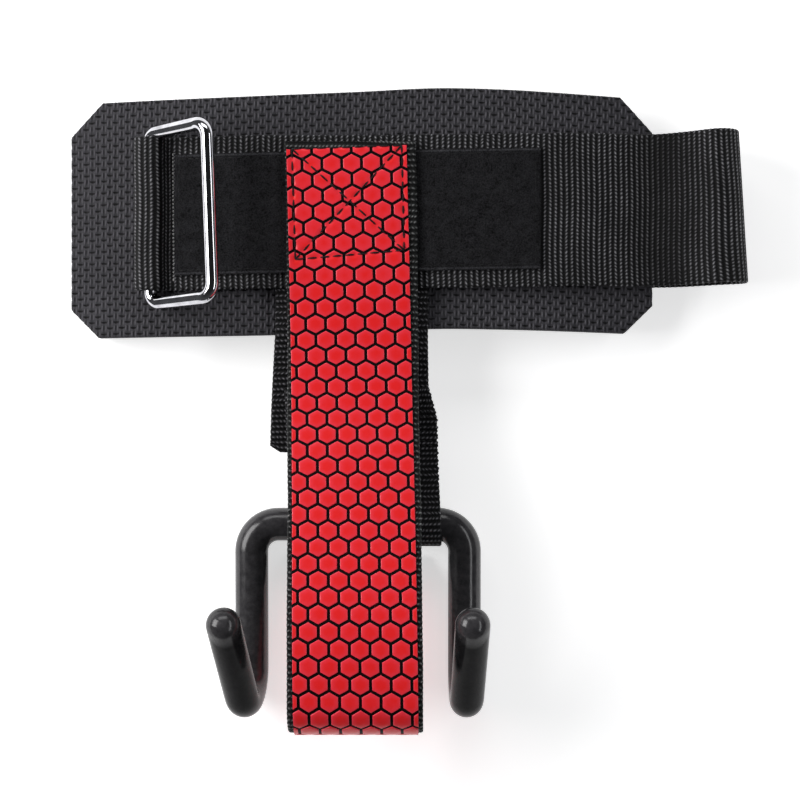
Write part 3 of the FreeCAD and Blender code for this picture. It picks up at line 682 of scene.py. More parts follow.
def arch_line(height, x):
    """Z and upward normal (nx, nz) of the pad's arch at X, for a layer at a height above its underside."""
    z, nx, nz = np.full(x.shape, ARCH_HEIGHT + height), np.zeros(x.shape), np.ones(x.shape)
    for centre, radius, here in ((LEFT_CENTRE, LEFT_RADIUS, x < ARCH_LEFT),
                                 (RIGHT_CENTRE, RIGHT_RADIUS, x > ARCH_RIGHT)):
        r = radius + height
        d = np.clip((x - centre[0]) / r, -0.999, 0.999)
        z = np.where(here, centre[1] + r * np.sqrt(1 - d * d), z)
        nx, nz = np.where(here, d, nx), np.where(here, np.sqrt(1 - d * d), nz)
    return z, nx, nz


def end_x(y, left):
    """X of the pad's end at Y, with its cut corners."""
    cut = np.maximum(0, np.maximum(CUT_HIGH - (PAD_HIGH - y), CUT_LOW - (y - PAD_LOW)))
    return PAD_LEFT + cut if left else PAD_RIGHT - cut


def pad_places(pitch):
    """Grid of (x, y) over the octagon. Its columns bend to the cut ends within a zone at either end."""
    xx, yy = np.meshgrid(spaced(PAD_LEFT, PAD_RIGHT, pitch), spaced(PAD_LOW, PAD_HIGH, pitch), indexing="ij")
    zone = 26.0
    left, right = end_x(yy, True), end_x(yy, False)
    low, high = PAD_LEFT + zone, PAD_RIGHT - zone
    xx = np.where(xx < low, low - (low - xx) * (low - left) / zone, xx)
    xx = np.where(xx > high, high + (xx - high) * (right - high) / zone, xx)
    return xx, yy


def emboss(x, y):
    """Relief of the basket weave, 0 to 1: short dashes and upright slits, turn about."""
    column, row = np.floor(x / COLUMN), np.floor(y / ROW)
    f = x / COLUMN - column - 0.5
    g = y / ROW - row - 0.5
    odd = (column + row) % 2
    dash = (1 - odd) * np.exp(-((g - 0.35 * f * f) / 0.15) ** 2) * np.clip(1.6 - np.abs(f) / 0.32, 0, 1)
    slit = odd * np.exp(-(f / 0.10) ** 2) * np.clip(1.8 - np.abs(g) / 0.35, 0, 1)
    ridge = np.exp(-((np.abs(f) - 0.30) / 0.13) ** 2) * (0.35 + 0.65 * odd)
    ridge = ridge * np.clip(1.8 - np.abs(g) / 0.45, 0, 1)
    return np.clip(0.55 + 0.45 * ridge - 0.4 * slit - 0.65 * dash, 0, 1)


def make_pad():
    x, y = pad_places(0.45)
    z, nx, nz = arch_line(FOAM_TOP, x)
    edge = np.minimum.reduce([x - end_x(y, True), end_x(y, False) - x, y - PAD_LOW, PAD_HIGH - y])
    sink = 0.55 * (1 - emboss(x, y)) + 0.35 * np.clip(1 - edge / 0.5, 0, 1) ** 2
    upper = np.stack([x - nx * sink, y, z - nz * sink], -1)
    x0, y0 = x[:, [0, -1]], y[:, [0, -1]]
    lower = np.stack([x0, y0, arch_line(LINING_TOP, x0)[0]], -1)
    piece = plain_backed("pad_cover", lay_pad(upper), lay_pad(lower), np.stack([x, y], -1))
    dress(piece, foam_material(), "wrist_wrap", ["pad_foam"])


def make_lining():
    x, y = pad_places(2.0)
    upper = lay_pad(np.stack([x, y, arch_line(LINING_TOP, x)[0]], -1))
    lower = lay_pad(np.stack([x, y, arch_line(0.0, x)[0] + 0.02], -1))
    piece = slab("pad_lining_cloth", upper, lower, np.stack([x, y], -1))
    dress(piece, lining_material(), "wrist_wrap", ["pad_lining"])


make_pad()
make_lining()

# ---------------------------------------------------------------- wrist band and tail

WRAP = 3.3
BAR_RADIUS = LEFT_RADIUS + UNDER_MIDDLE + WRAP
BAR = on_circle(LEFT_CENTRE, BAR_RADIUS, polar_at(LEFT_CENTRE, BAR_RADIUS, RING_BAR_X))
LOOP_ANGLE = polar_at(LEFT_CENTRE, BAR_RADIUS, LOOP_END_X)
LOOP_END = on_circle(LEFT_CENTRE, BAR_RADIUS, LOOP_ANGLE)
FOLD, FOLD_RADIUS, FOLD_START, FOLD_END = (102.6, 15.8), 8.0, 118.0, -65.0
TAIL_HINGE = on_circle(FOLD, FOLD_RADIUS, FOLD_END)
TAIL_HEIGHT, TAIL_END_X = 2.3, -20.0


def band_path():
    """From the turned-under end, round the ring's bar, over the pad, round the fold and back."""
    under = LEFT_RADIUS + UNDER_MIDDLE
    start = polar_at(LEFT_CENTRE, under, UNDER_LEG_END_X)
    over = LEFT_RADIUS + BAND_MIDDLE
    drop = polar_at(LEFT_CENTRE, over, LOOP_DROP_X)
    drop_end = on_circle(LEFT_CENTRE, over, drop)
    right = RIGHT_RADIUS + BAND_MIDDLE
    leave_angle = polar_at(RIGHT_CENTRE, right, BAND_LEAVES_PAD_X)
    leave = on_circle(RIGHT_CENTRE, right, leave_angle)
    entry = on_circle(FOLD, FOLD_RADIUS, FOLD_START)
    valley = meet(leave, leave_angle - 90, entry, FOLD_START - 90)
    middle = (FOLD_START + FOLD_END) / 2
    landing = meet(TAIL_HINGE, FOLD_END - 90, (0, TAIL_HEIGHT), 0)
    loop_top = on_circle(on_circle(LOOP_END, WRAP, LOOP_ANGLE), LOOP_TOP_STRAIGHT, LOOP_ANGLE - 90)
    return Path([on_circle(LEFT_CENTRE, under, start) + (0,),
                 arc_corner(LEFT_CENTRE, under, start, LOOP_ANGLE),
                 arc_corner(LOOP_END, WRAP, LOOP_ANGLE + 180, LOOP_ANGLE + 90),
                 arc_corner(LOOP_END, WRAP, LOOP_ANGLE + 90, LOOP_ANGLE),
                 loop_top + (LOOP_BEND,),
                 on_circle(drop_end, LOOP_DROP_REACH, drop + 90) + (LOOP_BEND,),
                 arc_corner(LEFT_CENTRE, over, drop, 90),
                 arc_corner(RIGHT_CENTRE, right, 90, leave_angle),
                 valley + (VALLEY_RADIUS,),
                 arc_corner(FOLD, FOLD_RADIUS, FOLD_START, middle),
                 arc_corner(FOLD, FOLD_RADIUS, middle, FOLD_END),
                 landing + (VALLEY_RADIUS,),
                 (TAIL_END_X, TAIL_HEIGHT, 0)])


BAND = band_path()
run = np.linspace(0, BAND.length, 1500)
past_pad = run[(run > 60) & (BAND.at(run)[0][:, 0] > 86.0)][0]
band = strip("wrist_band_webbing", BAND, BAND_Y, BAND_WIDTH, along_x, lay_band, 11)
# The band's stretch just past the pad's end carries painted shade, darker where it dips into the valley.
BAND_WEB = webbing_material("ribbed webbing", (0.0012, 0.0012, 0.0014), (0.285, 0.285, 0.302), dot=1.2,
                            valley_shade=(past_pad, 17.0))
dress(band, BAND_WEB, None, ["wrist_band", "band_tail"])
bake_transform(band)


def on_arch(height, xs, ys, lay):
    """Points that lie on the arch at a height above the pad's underside, and their normals."""
    xs, ys = np.broadcast_arrays(np.asarray(xs, float), np.asarray(ys, float))
    z, nx, nz = arch_line(height, xs)
    points = lay(np.stack([xs, ys, z], -1))
    return points, np.stack([nx, np.zeros_like(nx), nz], -1)


def arch_stitches(height, start, end, lay, **options):
    t = np.linspace(0, 1, 60)
    points, normals = on_arch(height, start[0] + (end[0] - start[0]) * t, start[1] + (end[1] - start[1]) * t, lay)
    return stitch_line(points, normals, **options)


sew("ring_loop_stitches", [arch_stitches(BAND_MIDDLE + HALF_WEB - 0.05, (-75.55, 42.2), (-75.75, 84.0), lay_band,
                                         length=0.85, gap=0.4, thick=0.55, rise=0.3)],
    "wrist_wrap", "ring_loop_stitching", BRIGHT_THREAD)

# ---------------------------------------------------------------- patches


def patch_slab(name, left, right, pitch, low, high, lay, seed, on_pad=True):
    """Pile patch with a woven selvage along its long edges and a rough outer face."""
    x, y = spaced(left, right, pitch), spaced(PATCH_Y - PATCH_WIDTH / 2, PATCH_Y + PATCH_WIDTH / 2, pitch)
    xx, yy = np.meshgrid(x, y, indexing="ij")
    rng = np.random.default_rng(seed)
    rough = rng.random(xx.shape)
    soft = (rough + np.roll(rough, 1, 0) + np.roll(rough, 1, 1) + np.roll(rough, -1, 0) + np.roll(rough, -1, 1)) / 5
    edge = np.minimum(yy - y[0], y[-1] - yy)
    ends = np.minimum(xx - x[0], x[-1] - xx)
    pile = np.clip(edge / 1.2, 0, 1) * np.clip(ends / 0.6 + 0.3, 0, 1)
    sink = ((1 - soft) * pile + (1 - pile)) * 0.5
    if on_pad:
        z, nx, nz = arch_line(high, xx)
        upper = np.stack([xx - nx * sink, yy, z - nz * sink], -1)
        lower = np.stack([xx, yy, arch_line(low, xx)[0]], -1)
    else:
        upper = np.stack([xx, yy, np.full(xx.shape, high)], -1)
        lower = np.stack([xx, yy, low + sink], -1)
    return slab(name, lay(upper), lay(lower), np.stack([xx, yy], -1))


patch = patch_slab("loop_patch_pile", PATCH_LEFT, PATCH_RIGHT, 0.5, PATCH_LOW, PATCH_TOP, lay_patch, 2)
dress(patch, LOOP_PILE, "wrist_wrap", ["loop_patch"])

hook_patch = patch_slab("hook_patch_pile", HOOK_PATCH_LEFT, HOOK_PATCH_RIGHT, 0.6, 0.0, HOOK_PATCH_TOP, lay_band, 9,
                        on_pad=False)
dress(hook_patch, HOOK_PILE, "tail", ["hook_patch"])


def seam_box(x0, x1):
    """Four sides of a seam just inside a patch's edges, long sides first."""
    x0, x1 = x0 + 1.6, x1 - 1.6
    y0, y1 = PATCH_Y - PATCH_WIDTH / 2 + 1.6, PATCH_Y + PATCH_WIDTH / 2 - 1.6
    return [((x0, y0), (x1, y0)), ((x0, y1), (x1, y1)), ((x0, y0), (x0, y1)), ((x1, y0), (x1, y1))]


def patch_seam_runs():
    """The loop patch's seam, left open under the flap along its long sides."""
    sides = seam_box(PATCH_LEFT, PATCH_RIGHT)
    runs = [((a, start[1]), (b, end[1])) for start, end in sides[:2] for a, b in ((start[0], -39.5), (6.5, end[0]))]
    return runs + sides[2:]


def tail_stitches(start, end):
    """Stitches on the tail's upper face."""
    z = TAIL_HEIGHT + HALF_WEB - 0.05
    t = np.linspace(0, 1, 40)[:, None]
    a, b = np.array([*start, z], float), np.array([*end, z], float)
    return stitch_line(lay_band(a + (b - a) * t), np.array([0, 0, 1.0]), length=2.2, gap=0.8, thick=0.4)


sew("loop_patch_stitches", [arch_stitches(PATCH_TOP - 0.25, a, b, lay_patch,
                                          length=2.0, gap=0.8, thick=0.26, rise=0.02)
                            for a, b in patch_seam_runs()], "wrist_wrap", "loop_patch_stitching")
sew("hook_patch_stitches", [tail_stitches(a, b) for a, b in seam_box(HOOK_PATCH_LEFT, HOOK_PATCH_RIGHT)],
    "tail", "hook_patch_stitching")
sew("tail_end_stitches", [tail_stitches((TAIL_END_X + x, 41), (TAIL_END_X + x, 87.6)) for x in (2.2, 5.2)],
    "tail", "tail_end_stitching")

# ---------------------------------------------------------------- flap

FLAP_X, FLAP_WIDTH, FILM_WIDTH = -17.0, 42.4, 39.2
FLAP_Z = ARCH_HEIGHT + FLAP_MIDDLE
FLAP_TOP_RUN, FLAP_FOLD, FLAP_FOLD_RADIUS = -85.7, (92.9, 38.6), 9.5
FLAP_EXIT, FLAP_HEADING, FLAP_END_Z, FLAP_HEM = -59.0, 211.0, 2.2, 10.0


def flap_path():
    exit_point = on_circle(FLAP_FOLD, FLAP_FOLD_RADIUS, FLAP_EXIT)
    middle = (90 + FLAP_EXIT) / 2
    end = meet(exit_point, FLAP_HEADING, (0, FLAP_END_Z), 0)
    return Path([(FLAP_TOP_RUN, FLAP_Z, 0), (-8, FLAP_Z, 120.0),
                 (74, FLAP_FOLD[1] + FLAP_FOLD_RADIUS, 100.0),
                 arc_corner(FLAP_FOLD, FLAP_FOLD_RADIUS, 90, middle),
                 arc_corner(FLAP_FOLD, FLAP_FOLD_RADIUS, middle, FLAP_EXIT),
                 end + (0,)])


FLAP = flap_path()


def film_shift(s):
    """How far the film lies to the left of the webbing's middle."""
    return smooth_curve(s, [(0, -1.3), (43, -0.8), (85, -0.45), (120, -0.12), (300, -0.12)])


def film_tilt(s):
    """Slope of the cells' rows against the flap: they rise to the right near the sewn end."""
    return smooth_curve(s, [(0, 0.036), (30, 0.033), (85, 0.022), (115, 0.010), (150, -0.002), (185, -0.008),
                            (300, -0.008)])


SEAM_CORNERS = {"tl": (2.6, -19.0), "tr": (1.5, 16.6), "bl": (38.4, -18.3), "br": (35.4, 17.0)}
SEAM_RUNS = [("tl", "tr"), ("tr", "br"), ("br", "bl"), ("bl", "tl"), ("tl", "br"), ("bl", "tr")]


def seam_dip(s, v):
    """How far the box and cross of thread pull the film down, in mm."""
    dip = np.zeros(np.shape(s))
    for first, last in SEAM_RUNS:
        a, b = np.array(SEAM_CORNERS[first]), np.array(SEAM_CORNERS[last])
        along = b - a
        length = np.linalg.norm(along)
        t = np.clip(((s - a[0]) * along[0] + (v - a[1]) * along[1]) / length**2, 0, 1)
        away = np.hypot(s - a[0] - along[0] * t, v - a[1] - along[1] * t)
        tight = 0.65 + 0.35 * np.cos(t * length / 4.1 * TAU)
        dip = np.maximum(dip, 0.32 * tight * np.exp(-(away / 0.75) ** 2))
    return dip


def on_flap(s, v, offset):
    """Points of the flap at a distance along it, across it and off its middle."""
    s, v, offset = np.broadcast_arrays(*(np.asarray(a, float) for a in (s, v, offset)))
    point, normal = FLAP.at(s)
    return lay_flap(towards_hooks(point + normal * offset[..., None], FLAP_X + v))


def on_film(s, v, offset):
    """Points of the film, in its own skewed coordinates."""
    s, v, offset = np.broadcast_arrays(*(np.asarray(a, float) for a in (s, v, offset)))
    s, v = s - film_tilt(s) * v, v + film_shift(s)
    return on_flap(s, v, offset - seam_dip(s, v))


flap = strip("flap_webbing", FLAP, FLAP_X, FLAP_WIDTH, towards_hooks, lay_flap, 23)
dress(flap, FLAP_WEB, None, ["flap_root", "flap_strap"])
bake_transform(flap)

hem = strip("flap_hem", FLAP, FLAP_X, FLAP_WIDTH - 0.4, towards_hooks, lay_flap, 24,
            start=FLAP.length - FLAP_HEM, half=HALF_WEB * 0.96, centre=WEB * 0.98)
dress(hem, FLAP_WEB, "flap")

FILM_START, FILM_END = 1.9, FLAP.length - FLAP_HEM - 2
GROUND_TOP = HALF_WEB + 0.34
CELL_TOP = HALF_WEB + FILM_THICK


def make_ground():
    s = spaced(FILM_START, FILM_END, 1.0)
    v = spaced(-FILM_WIDTH / 2, FILM_WIDTH / 2, 1.4)
    ss, vv = np.meshgrid(s, v, indexing="ij")
    edge = np.clip(1 - (FILM_WIDTH / 2 - np.abs(vv)) / 0.8, 0, 1)
    upper = on_film(ss, vv, GROUND_TOP - 0.12 * edge)
    lower = on_film(ss, vv, HALF_WEB - 0.12)
    piece = slab("grip_film_ground", upper, lower, np.stack([ss, vv], -1))
    dress(piece, film_material())
    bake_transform(piece)


make_ground()

CELL_PITCH, CELL_FIRST, GROOVE = 6.42, -14.5, 0.95
CELL_ROWS = range(-2, 47)


def row_place(k):
    """Distance of a row of cells along the flap. The rows spread a little away from the seam."""
    return 12.4 + 5.15 * k + 0.0035 * k * abs(k)


def clip_polygon(polygon, axis, limit, keep_below):
    """Part of a polygon on one side of a straight line."""
    out = []
    for a, b in zip(polygon, polygon[1:] + polygon[:1]):
        inside_a = (a[axis] <= limit) == keep_below
        inside_b = (b[axis] <= limit) == keep_below
        if inside_a:
            out.append(a)
        if inside_a != inside_b:
            t = (limit - a[axis]) / (b[axis] - a[axis])
            out.append((a[0] + (b[0] - a[0]) * t, a[1] + (b[1] - a[1]) * t))
    return out


def cell_outline(k, centre):
    """Outline of one cell in film coordinates, clipped to the film, or None."""
    u = row_place(k)
    above, below = u - row_place(k - 1), row_place(k + 1) - u
    half = CELL_PITCH / 2 - GROOVE / 2
    scale = half / (CELL_PITCH / 2)
    tall = (above + below) / 2 * 2 / 3 * scale
    shape = [(u - tall, centre), (u - tall / 2, centre + half), (u + tall / 2, centre + half),
             (u + tall, centre), (u + tall / 2, centre - half), (u - tall / 2, centre - half)]
    side = FILM_WIDTH / 2 - 0.12
    for axis, limit, below_ in ((0, FILM_END - 0.2, True), (0, FILM_START + 0.15, False),
                                (1, side, True), (1, -side, False)):
        shape = clip_polygon(shape, axis, limit, below_)
        if len(shape) < 3:
            return None
    area = 0.5 * sum(a[0] * b[1] - b[0] * a[1] for a, b in zip(shape, shape[1:] + shape[:1]))
    return shape if abs(area) > 0.8 else None


def even_outline(shape, count):
    """Points spread along a polygon, keeping its corners."""
    lengths = [math.dist(a, b) for a, b in zip(shape, shape[1:] + shape[:1])]
    total = sum(lengths)
    out = []
    for a, b, length in zip(shape, shape[1:] + shape[:1], lengths):
        parts = max(1, int(round(count * length / total)))
        out += [(a[0] + (b[0] - a[0]) * t / parts, a[1] + (b[1] - a[1]) * t / parts) for t in range(parts)]
    return np.array(out)


# Rings of a cell: shrink, lift and crown; a low crown gives the rim its painted pink highlight.
RIM = ((1.0, -0.14, 0.0), (0.995, 0.72, 0.0), (0.965, 0.92, 0.1), (0.90, 1.0, 0.35))
INNER = ((0.45, 1.04, 0.9),)
INNER_FINE = tuple((r, 1.0 + (1 - r) * 0.07, 1 - r * 0.6) for r in (0.77, 0.64, 0.51, 0.38, 0.25, 0.12))


def make_cells():
    """Domed cells of the grip, finer where they are near the seam."""
    points, faces, crown, flat = [], [], [], []
    base = 0
    for k in CELL_ROWS:
        first = CELL_FIRST + (CELL_PITCH / 2 if k % 2 else 0.0) - CELL_PITCH
        for n in range(-1, 8):
            shape = cell_outline(k, first + n * CELL_PITCH)
            if shape is None:
                continue
            fine = row_place(k) < 46
            outline = even_outline(shape, 42 if fine else 24)
            middle = outline.mean(0)
            count = len(outline)
            rings = RIM + (INNER_FINE if fine else INNER)
            for shrink, lift, rise in rings:
                place = middle + (outline - middle) * shrink
                height = GROUND_TOP + (CELL_TOP - GROUND_TOP) * lift
                points.append(on_film(place[:, 0], place[:, 1], height))
                crown += [rise] * count
                flat.append(place)
            points.append(on_film(middle[None, 0], middle[None, 1], GROUND_TOP + (CELL_TOP - GROUND_TOP) * 1.06))
            crown.append(1.0)
            flat.append(middle[None, :])
            for r in range(len(rings) - 1):
                for i in range(count):
                    j = (i + 1) % count
                    a, b = base + r * count, base + (r + 1) * count
                    faces.append([a + i, a + j, b + j, b + i])
            last = base + (len(rings) - 1) * count
            tip = base + len(rings) * count
            faces += [[last + i, last + (i + 1) % count, tip] for i in range(count)]
            faces.append([base + i for i in range(count)][::-1])
            base = tip + 1
    piece = make_mesh("grip_cells", np.vstack(points), faces, np.vstack(flat), sharp=65)
    piece.data.attributes.new("crown", "FLOAT", "POINT").data.foreach_set("value", np.array(crown, np.float32))
    dress(piece, cell_material(), None, ["flap_grip", "flap_root_grip"])
    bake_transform(piece)


make_cells()


def film_stitches(start, end):
    """Stitches on the film between two places (distance along, across)."""
    t = np.linspace(0, 1, 50)
    s = start[0] + (end[0] - start[0]) * t
    v = start[1] + (end[1] - start[1]) * t
    return stitch_line(on_flap(s, v, CELL_TOP - 0.12), np.array([0.0, 0.0, 1.0]),
                       length=2.9, gap=1.2, thick=0.62, rise=0.1)


def tip_stitches(back):
    """Stitches across the flap's underside, a little way back from its tip."""
    points = on_flap(np.full(40, FLAP.length - back), np.linspace(-19, 19, 40), -HALF_WEB + 0.02)
    _, normal = FLAP.at(np.array([FLAP.length - back]))
    down = -np.array([0.0, -normal[0, 0], normal[0, 1]])
    return stitch_line(points, down, length=2.4, gap=0.8, thick=0.42)


sew("flap_box_stitches", [film_stitches(SEAM_CORNERS[a], SEAM_CORNERS[b]) for a, b in SEAM_RUNS],
    "wrist_wrap", "flap_box_stitching")
tip_seam = sew("flap_tip_stitches", [tip_stitches(FLAP_HEM / 4), tip_stitches(FLAP_HEM * 3 / 4)],
               "flap", "flap_tip_stitching")

# ---------------------------------------------------------------- hanger and hook loop

HANGER_X, HANGER_WIDTH = -17.3, 50.0
HANGER_Z = ARCH_HEIGHT + UNDER_MIDDLE
HANGER_HINGE_RUN, HANGER_DROP = -23.5, 15.4
CROSSBAR, CROSSBAR_WRAP, LOOP_RETURN, PLY = (39.6, 7.4), 6.6, 11.3, 1.7


def hanger_line(run, offset):
    slope = math.radians(HANGER_DROP)
    return (run, HANGER_Z - (run - HANGER_HINGE_RUN) * math.tan(slope) + offset / math.cos(slope))


HANGER = Path([(-87.0, HANGER_Z, 0), (HANGER_HINGE_RUN, HANGER_Z, 6.0), hanger_line(15.5, 0) + (0,)])
hanger = strip("hanger_webbing", HANGER, HANGER_X, HANGER_WIDTH, towards_hooks, lay_hanger, 31)
dress(hanger, CARRIER_WEB, None, ["hanger_root", "hanger_strap"])
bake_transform(hanger)


def loop_path():
    rear, front = hanger_line(-5.8, -PLY), hanger_line(-5.8, PLY)
    landing = meet(rear, -HANGER_DROP, (0, HALF_WEB), 0)
    leave_angle = 90 + LOOP_RETURN
    half_way = (leave_angle - 90) / 2
    leave = on_circle(CROSSBAR, CROSSBAR_WRAP, leave_angle)
    valley = meet(leave, 180 + LOOP_RETURN, front, -HANGER_DROP)
    return Path([rear + (0,), landing + (12.0,), arc_corner(CROSSBAR, CROSSBAR_WRAP, -90, half_way),
                 arc_corner(CROSSBAR, CROSSBAR_WRAP, half_way, leave_angle), valley + (12.0,), front + (0,)])


LOOP = loop_path()
hook_loop = strip("hook_loop_webbing", LOOP, -14.5, HANGER_WIDTH, towards_hooks, lay_hook_loop, 37)
dress(hook_loop, CARRIER_WEB, "hanger", ["hook_loop"])


def hanger_stitches():
    """Rows of small stitches that close the hook loop, each a little off its line."""
    parts = []
    slope = math.radians(HANGER_DROP)
    up = np.array([0.0, -math.sin(slope), math.cos(slope)])
    rng = random.Random(5)
    for run in (-3.2, -1.4, 1.8, 3.4, 6.8, 8.2, 11.8, 13.2):
        x = np.linspace(-37.5, 8.5, 40)
        y, z = -(run + rng.uniform(-0.3, 0.3)), hanger_line(run, PLY + HALF_WEB - 0.05)[1]
        points = lay_hook_loop(np.stack([x, np.full(40, y), np.full(40, z)], -1))
        parts.append(stitch_line(points, up, length=1.5, gap=0.7, thick=0.4, rise=0.25))
    return parts


sew("hanger_stitches", hanger_stitches(), "hanger", "hanger_stitching")

# ---------------------------------------------------------------- round wire and rod


def rounded_line(corners, per_turn, closed=False):
    """Points along 3-D straights and bends through (point, radius) corners, one for each per_turn degrees."""
    points = [np.array(c[0], float) for c in corners]
    count = len(points)
    out = []
    for i in range(count):
        if not closed and i in (0, count - 1):
            out.append(points[i])
            continue
        before = points[i] - points[i - 1]
        after = points[(i + 1) % count] - points[i]
        before, after = before / np.linalg.norm(before), after / np.linalg.norm(after)
        turn = math.acos(np.clip(before @ after, -1, 1))
        radius = corners[i][1]
        reach = radius * math.tan(turn / 2)
        axis = np.cross(before, after)
        axis = axis / np.linalg.norm(axis)
        start = points[i] - before * reach
        centre = start + np.cross(axis, before) * radius
        arm = start - centre
        steps = max(2, int(math.degrees(turn) / per_turn) + 1)
        for k in range(steps + 1):
            a = turn * k / steps
            out.append(centre + arm * math.cos(a) + np.cross(axis, arm) * math.sin(a))
    dense = []
    for a, b in zip(out, out[1:] + out[:1] if closed else out[1:]):
        parts = max(1, int(np.linalg.norm(b - a) / 2.0))
        dense += [a + (b - a) * k / parts for k in range(parts)]
    if not closed:
        dense.append(out[-1])
    return np.array(dense)


def tube(name, line, radius, sides, closed=False, first=(0, 0, 1)):
    """Round tube along a line, radius by point. Open ends close in a cap."""
    n = len(line)
    tangent = (np.roll(line, -1, 0) - np.roll(line, 1, 0)) if closed else np.gradient(line, axis=0)
    tangent /= np.linalg.norm(tangent, axis=1)[:, None]
    radius = np.broadcast_to(radius, (n,))
    normal = np.array(first, float)
    angle = np.arange(sides) * TAU / sides
    rows = []
    for i in range(n):
        normal = normal - tangent[i] * (normal @ tangent[i])
        normal /= np.linalg.norm(normal)
        side = np.cross(tangent[i], normal)
        rows.append(line[i] + radius[i] * (np.cos(angle)[:, None] * normal + np.sin(angle)[:, None] * side))
    points = np.vstack(rows)
    faces = []
    for i in range(n if closed else n - 1):
        for j in range(sides):
            a, b = i * sides, ((i + 1) % n) * sides
            faces.append([a + j, a + (j + 1) % sides, b + (j + 1) % sides, b + j])
    if not closed:
        faces.append(list(range(sides))[::-1])
        faces.append([(n - 1) * sides + j for j in range(sides)])
    return make_mesh(name, points, faces, sharp=70)


def make_ring():
    """Rectangular wire ring, tilted about the bar that the band holds, and a little out of square."""
    tilt, depth, half, middle = math.radians(38.0), 27.0, 27.7, 61.1
    corners = []
    for u, v in ((0, -half), (depth, -half), (depth, half), (0, half)):
        askew, radius = (0.036, 4.8) if u else (0.010, 3.4)
        point = (BAR[0] + u * math.cos(tilt) - askew * v, middle + v + 0.057 * u, BAR[1] + u * math.sin(tilt))
        corners.append((point, radius))
    piece = tube("ring_wire", rounded_line(corners, 4.0, closed=True), 2.2, 36, closed=True, first=(0.3, 0, 1))
    dress(piece, chrome_material(), "ring", ["ring"])


make_ring()

COAT, CROSSBAR_Y, CROSSBAR_Z, SHANK, HOOK_BEND, ARM_RISE, ARM = 5.5, -39.6, 7.4, 47.0, 10.0, 43.0, 36.7
HOOK_NOD = math.asin((CROSSBAR_Z - COAT - 0.02) / SHANK)


def hook_line():
    """Middle line of the double hook from the left tip to the right tip."""
    turn = math.radians(180 - ARM_RISE)
    reach = HOOK_BEND * math.tan(turn / 2)
    rise = math.radians(ARM_RISE)
    sides = []
    for x, lean in ((-51.0, -7.2), (20.0, 1.5)):
        low = np.array([x, -SHANK - reach, 0])
        arm = np.array([0, math.cos(rise), math.sin(rise)]) * (reach + ARM)
        a = math.radians(lean)
        arm = np.array([arm[2] * math.sin(a), arm[1], arm[2] * math.cos(a)])
        sides.append([((x, 0, 0), 9.0), (low, HOOK_BEND), (low + arm, 0)])
    line = rounded_line(sides[0][::-1] + sides[1], 5.0)
    c, s = math.cos(HOOK_NOD), math.sin(HOOK_NOD)
    y, z = line[:, 1] * c - line[:, 2] * s, line[:, 1] * s + line[:, 2] * c
    return np.stack([line[:, 0], y + CROSSBAR_Y, z + CROSSBAR_Z], -1)


def make_hook():
    line = hook_line()
    start = (line[0] - line[1]) / np.linalg.norm(line[0] - line[1])
    finish = (line[-1] - line[-2]) / np.linalg.norm(line[-1] - line[-2])
    dome = np.linspace(0, math.pi / 2, 14)[1:]
    head = [line[0] + start * COAT * math.sin(a) for a in dome]
    tail = [line[-1] + finish * COAT * math.sin(a) for a in dome]
    shrink = np.maximum(np.cos(dome), 0.004) ** 0.9
    whole = np.vstack([head[::-1], line, tail])
    radius = COAT * np.concatenate([shrink[::-1], np.ones(len(line)), shrink])
    dress(tube("hook_dip", whole, radius, 48), vinyl_material(), "hook", ["hook_coating"])


make_hook()
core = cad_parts["hook_core"]
core.data.materials.clear()
core.data.materials.append(steel_material())

# ---------------------------------------------------------------- floor, light and camera


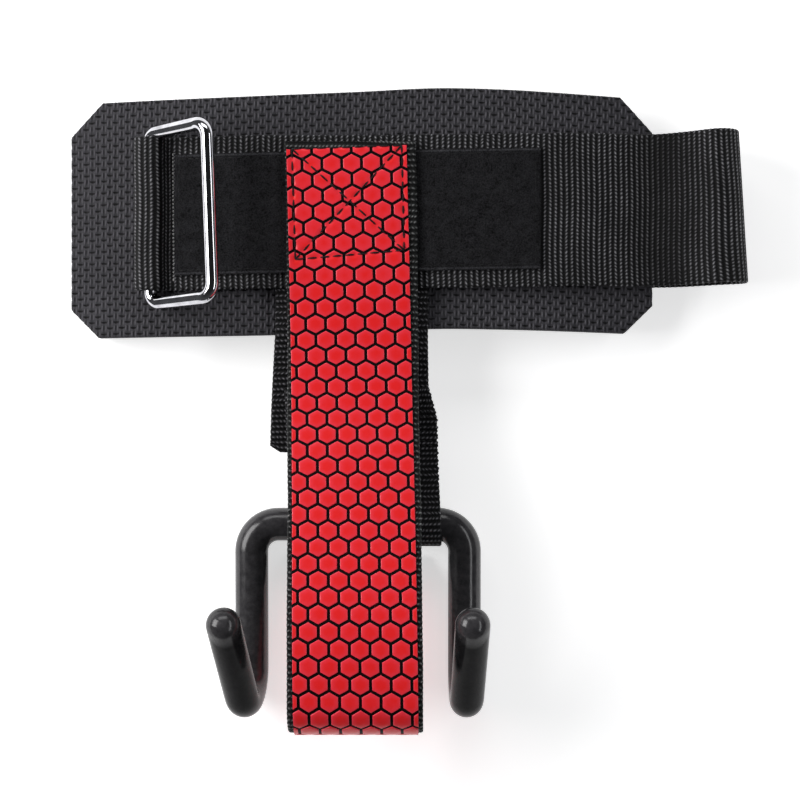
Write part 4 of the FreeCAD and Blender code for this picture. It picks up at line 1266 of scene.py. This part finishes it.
def make_floor():
    mesh = bpy.data.meshes.new("floor")
    mesh.from_pydata([(-6, -6, -5e-5), (6, -6, -5e-5), (6, 6, -5e-5), (-6, 6, -5e-5)], [], [(0, 1, 2, 3)])
    floor = add("floor", mesh)
    m = Mat("pale floor", Specular_IOR_Level=0.1, Emission_Color=(1, 1, 1, 1), Emission_Strength=0.6)
    tone = m.noise(m.rest(), 1.5, 2)
    mesh.materials.append(m.finish(m.ramp(tone, (0.86, 0.86, 0.86), (0.9, 0.9, 0.9)), 0.8))


def area_light(name, place, target, size, size_y, watts, colour=(1, 1, 1)):
    light = bpy.data.lights.new(name, "AREA")
    light.shape, light.size, light.size_y = "RECTANGLE", size, size_y
    light.energy, light.color = watts, colour
    lamp = add(name, light)
    lamp.location = place
    aim = Vector(target) - Vector(place)
    lamp.rotation_euler = aim.to_track_quat("-Z", "Y").to_euler()


def make_world():
    """Dim room, darkest overhead."""
    world = bpy.data.worlds.new("studio")
    world.use_nodes = True
    tree = world.node_tree
    up = tree.nodes.new("ShaderNodeSeparateXYZ")
    tree.links.new(tree.nodes.new("ShaderNodeTexCoord").outputs["Generated"], up.inputs[0])
    cap = tree.nodes.new("ShaderNodeMapRange")
    cap.inputs["From Min"].default_value, cap.inputs["From Max"].default_value = 0.10, 0.80
    cap.inputs["To Min"].default_value, cap.inputs["To Max"].default_value = 0.10, 0.02
    tree.links.new(up.outputs["Z"], cap.inputs["Value"])
    background = tree.nodes["Background"]
    background.inputs["Color"].default_value = (0.95, 0.97, 1.0, 1)
    tree.links.new(cap.outputs[0], background.inputs["Strength"])
    bpy.context.scene.world = world
    bpy.context.scene.view_settings.view_transform = "Standard"


def make_studio():
    make_world()
    area_light("left softbox", (-0.66, 0.18, 0.46), (0, 0, 0), 0.60, 0.40, 6.4, (1.0, 0.99, 0.99))
    area_light("right softbox", (0.60, -0.02, 0.56), (0, 0, 0), 1.0, 0.13, 1.9, (0.97, 0.98, 1.0))
    area_light("far softbox", (-0.1, 0.80, 0.50), (0, 0, 0), 0.8, 0.25, 2.5)


def make_camera():
    data = bpy.data.cameras.new("camera")
    data.sensor_width = 36.0
    data.lens = 36.0 * 1776 / 800
    data.clip_start, data.clip_end = 0.01, 50
    camera = add("camera", data)
    camera.location = (-0.0015, 0.0018, 0.600)
    bpy.context.scene.camera = camera


make_floor()
make_studio()
make_camera()
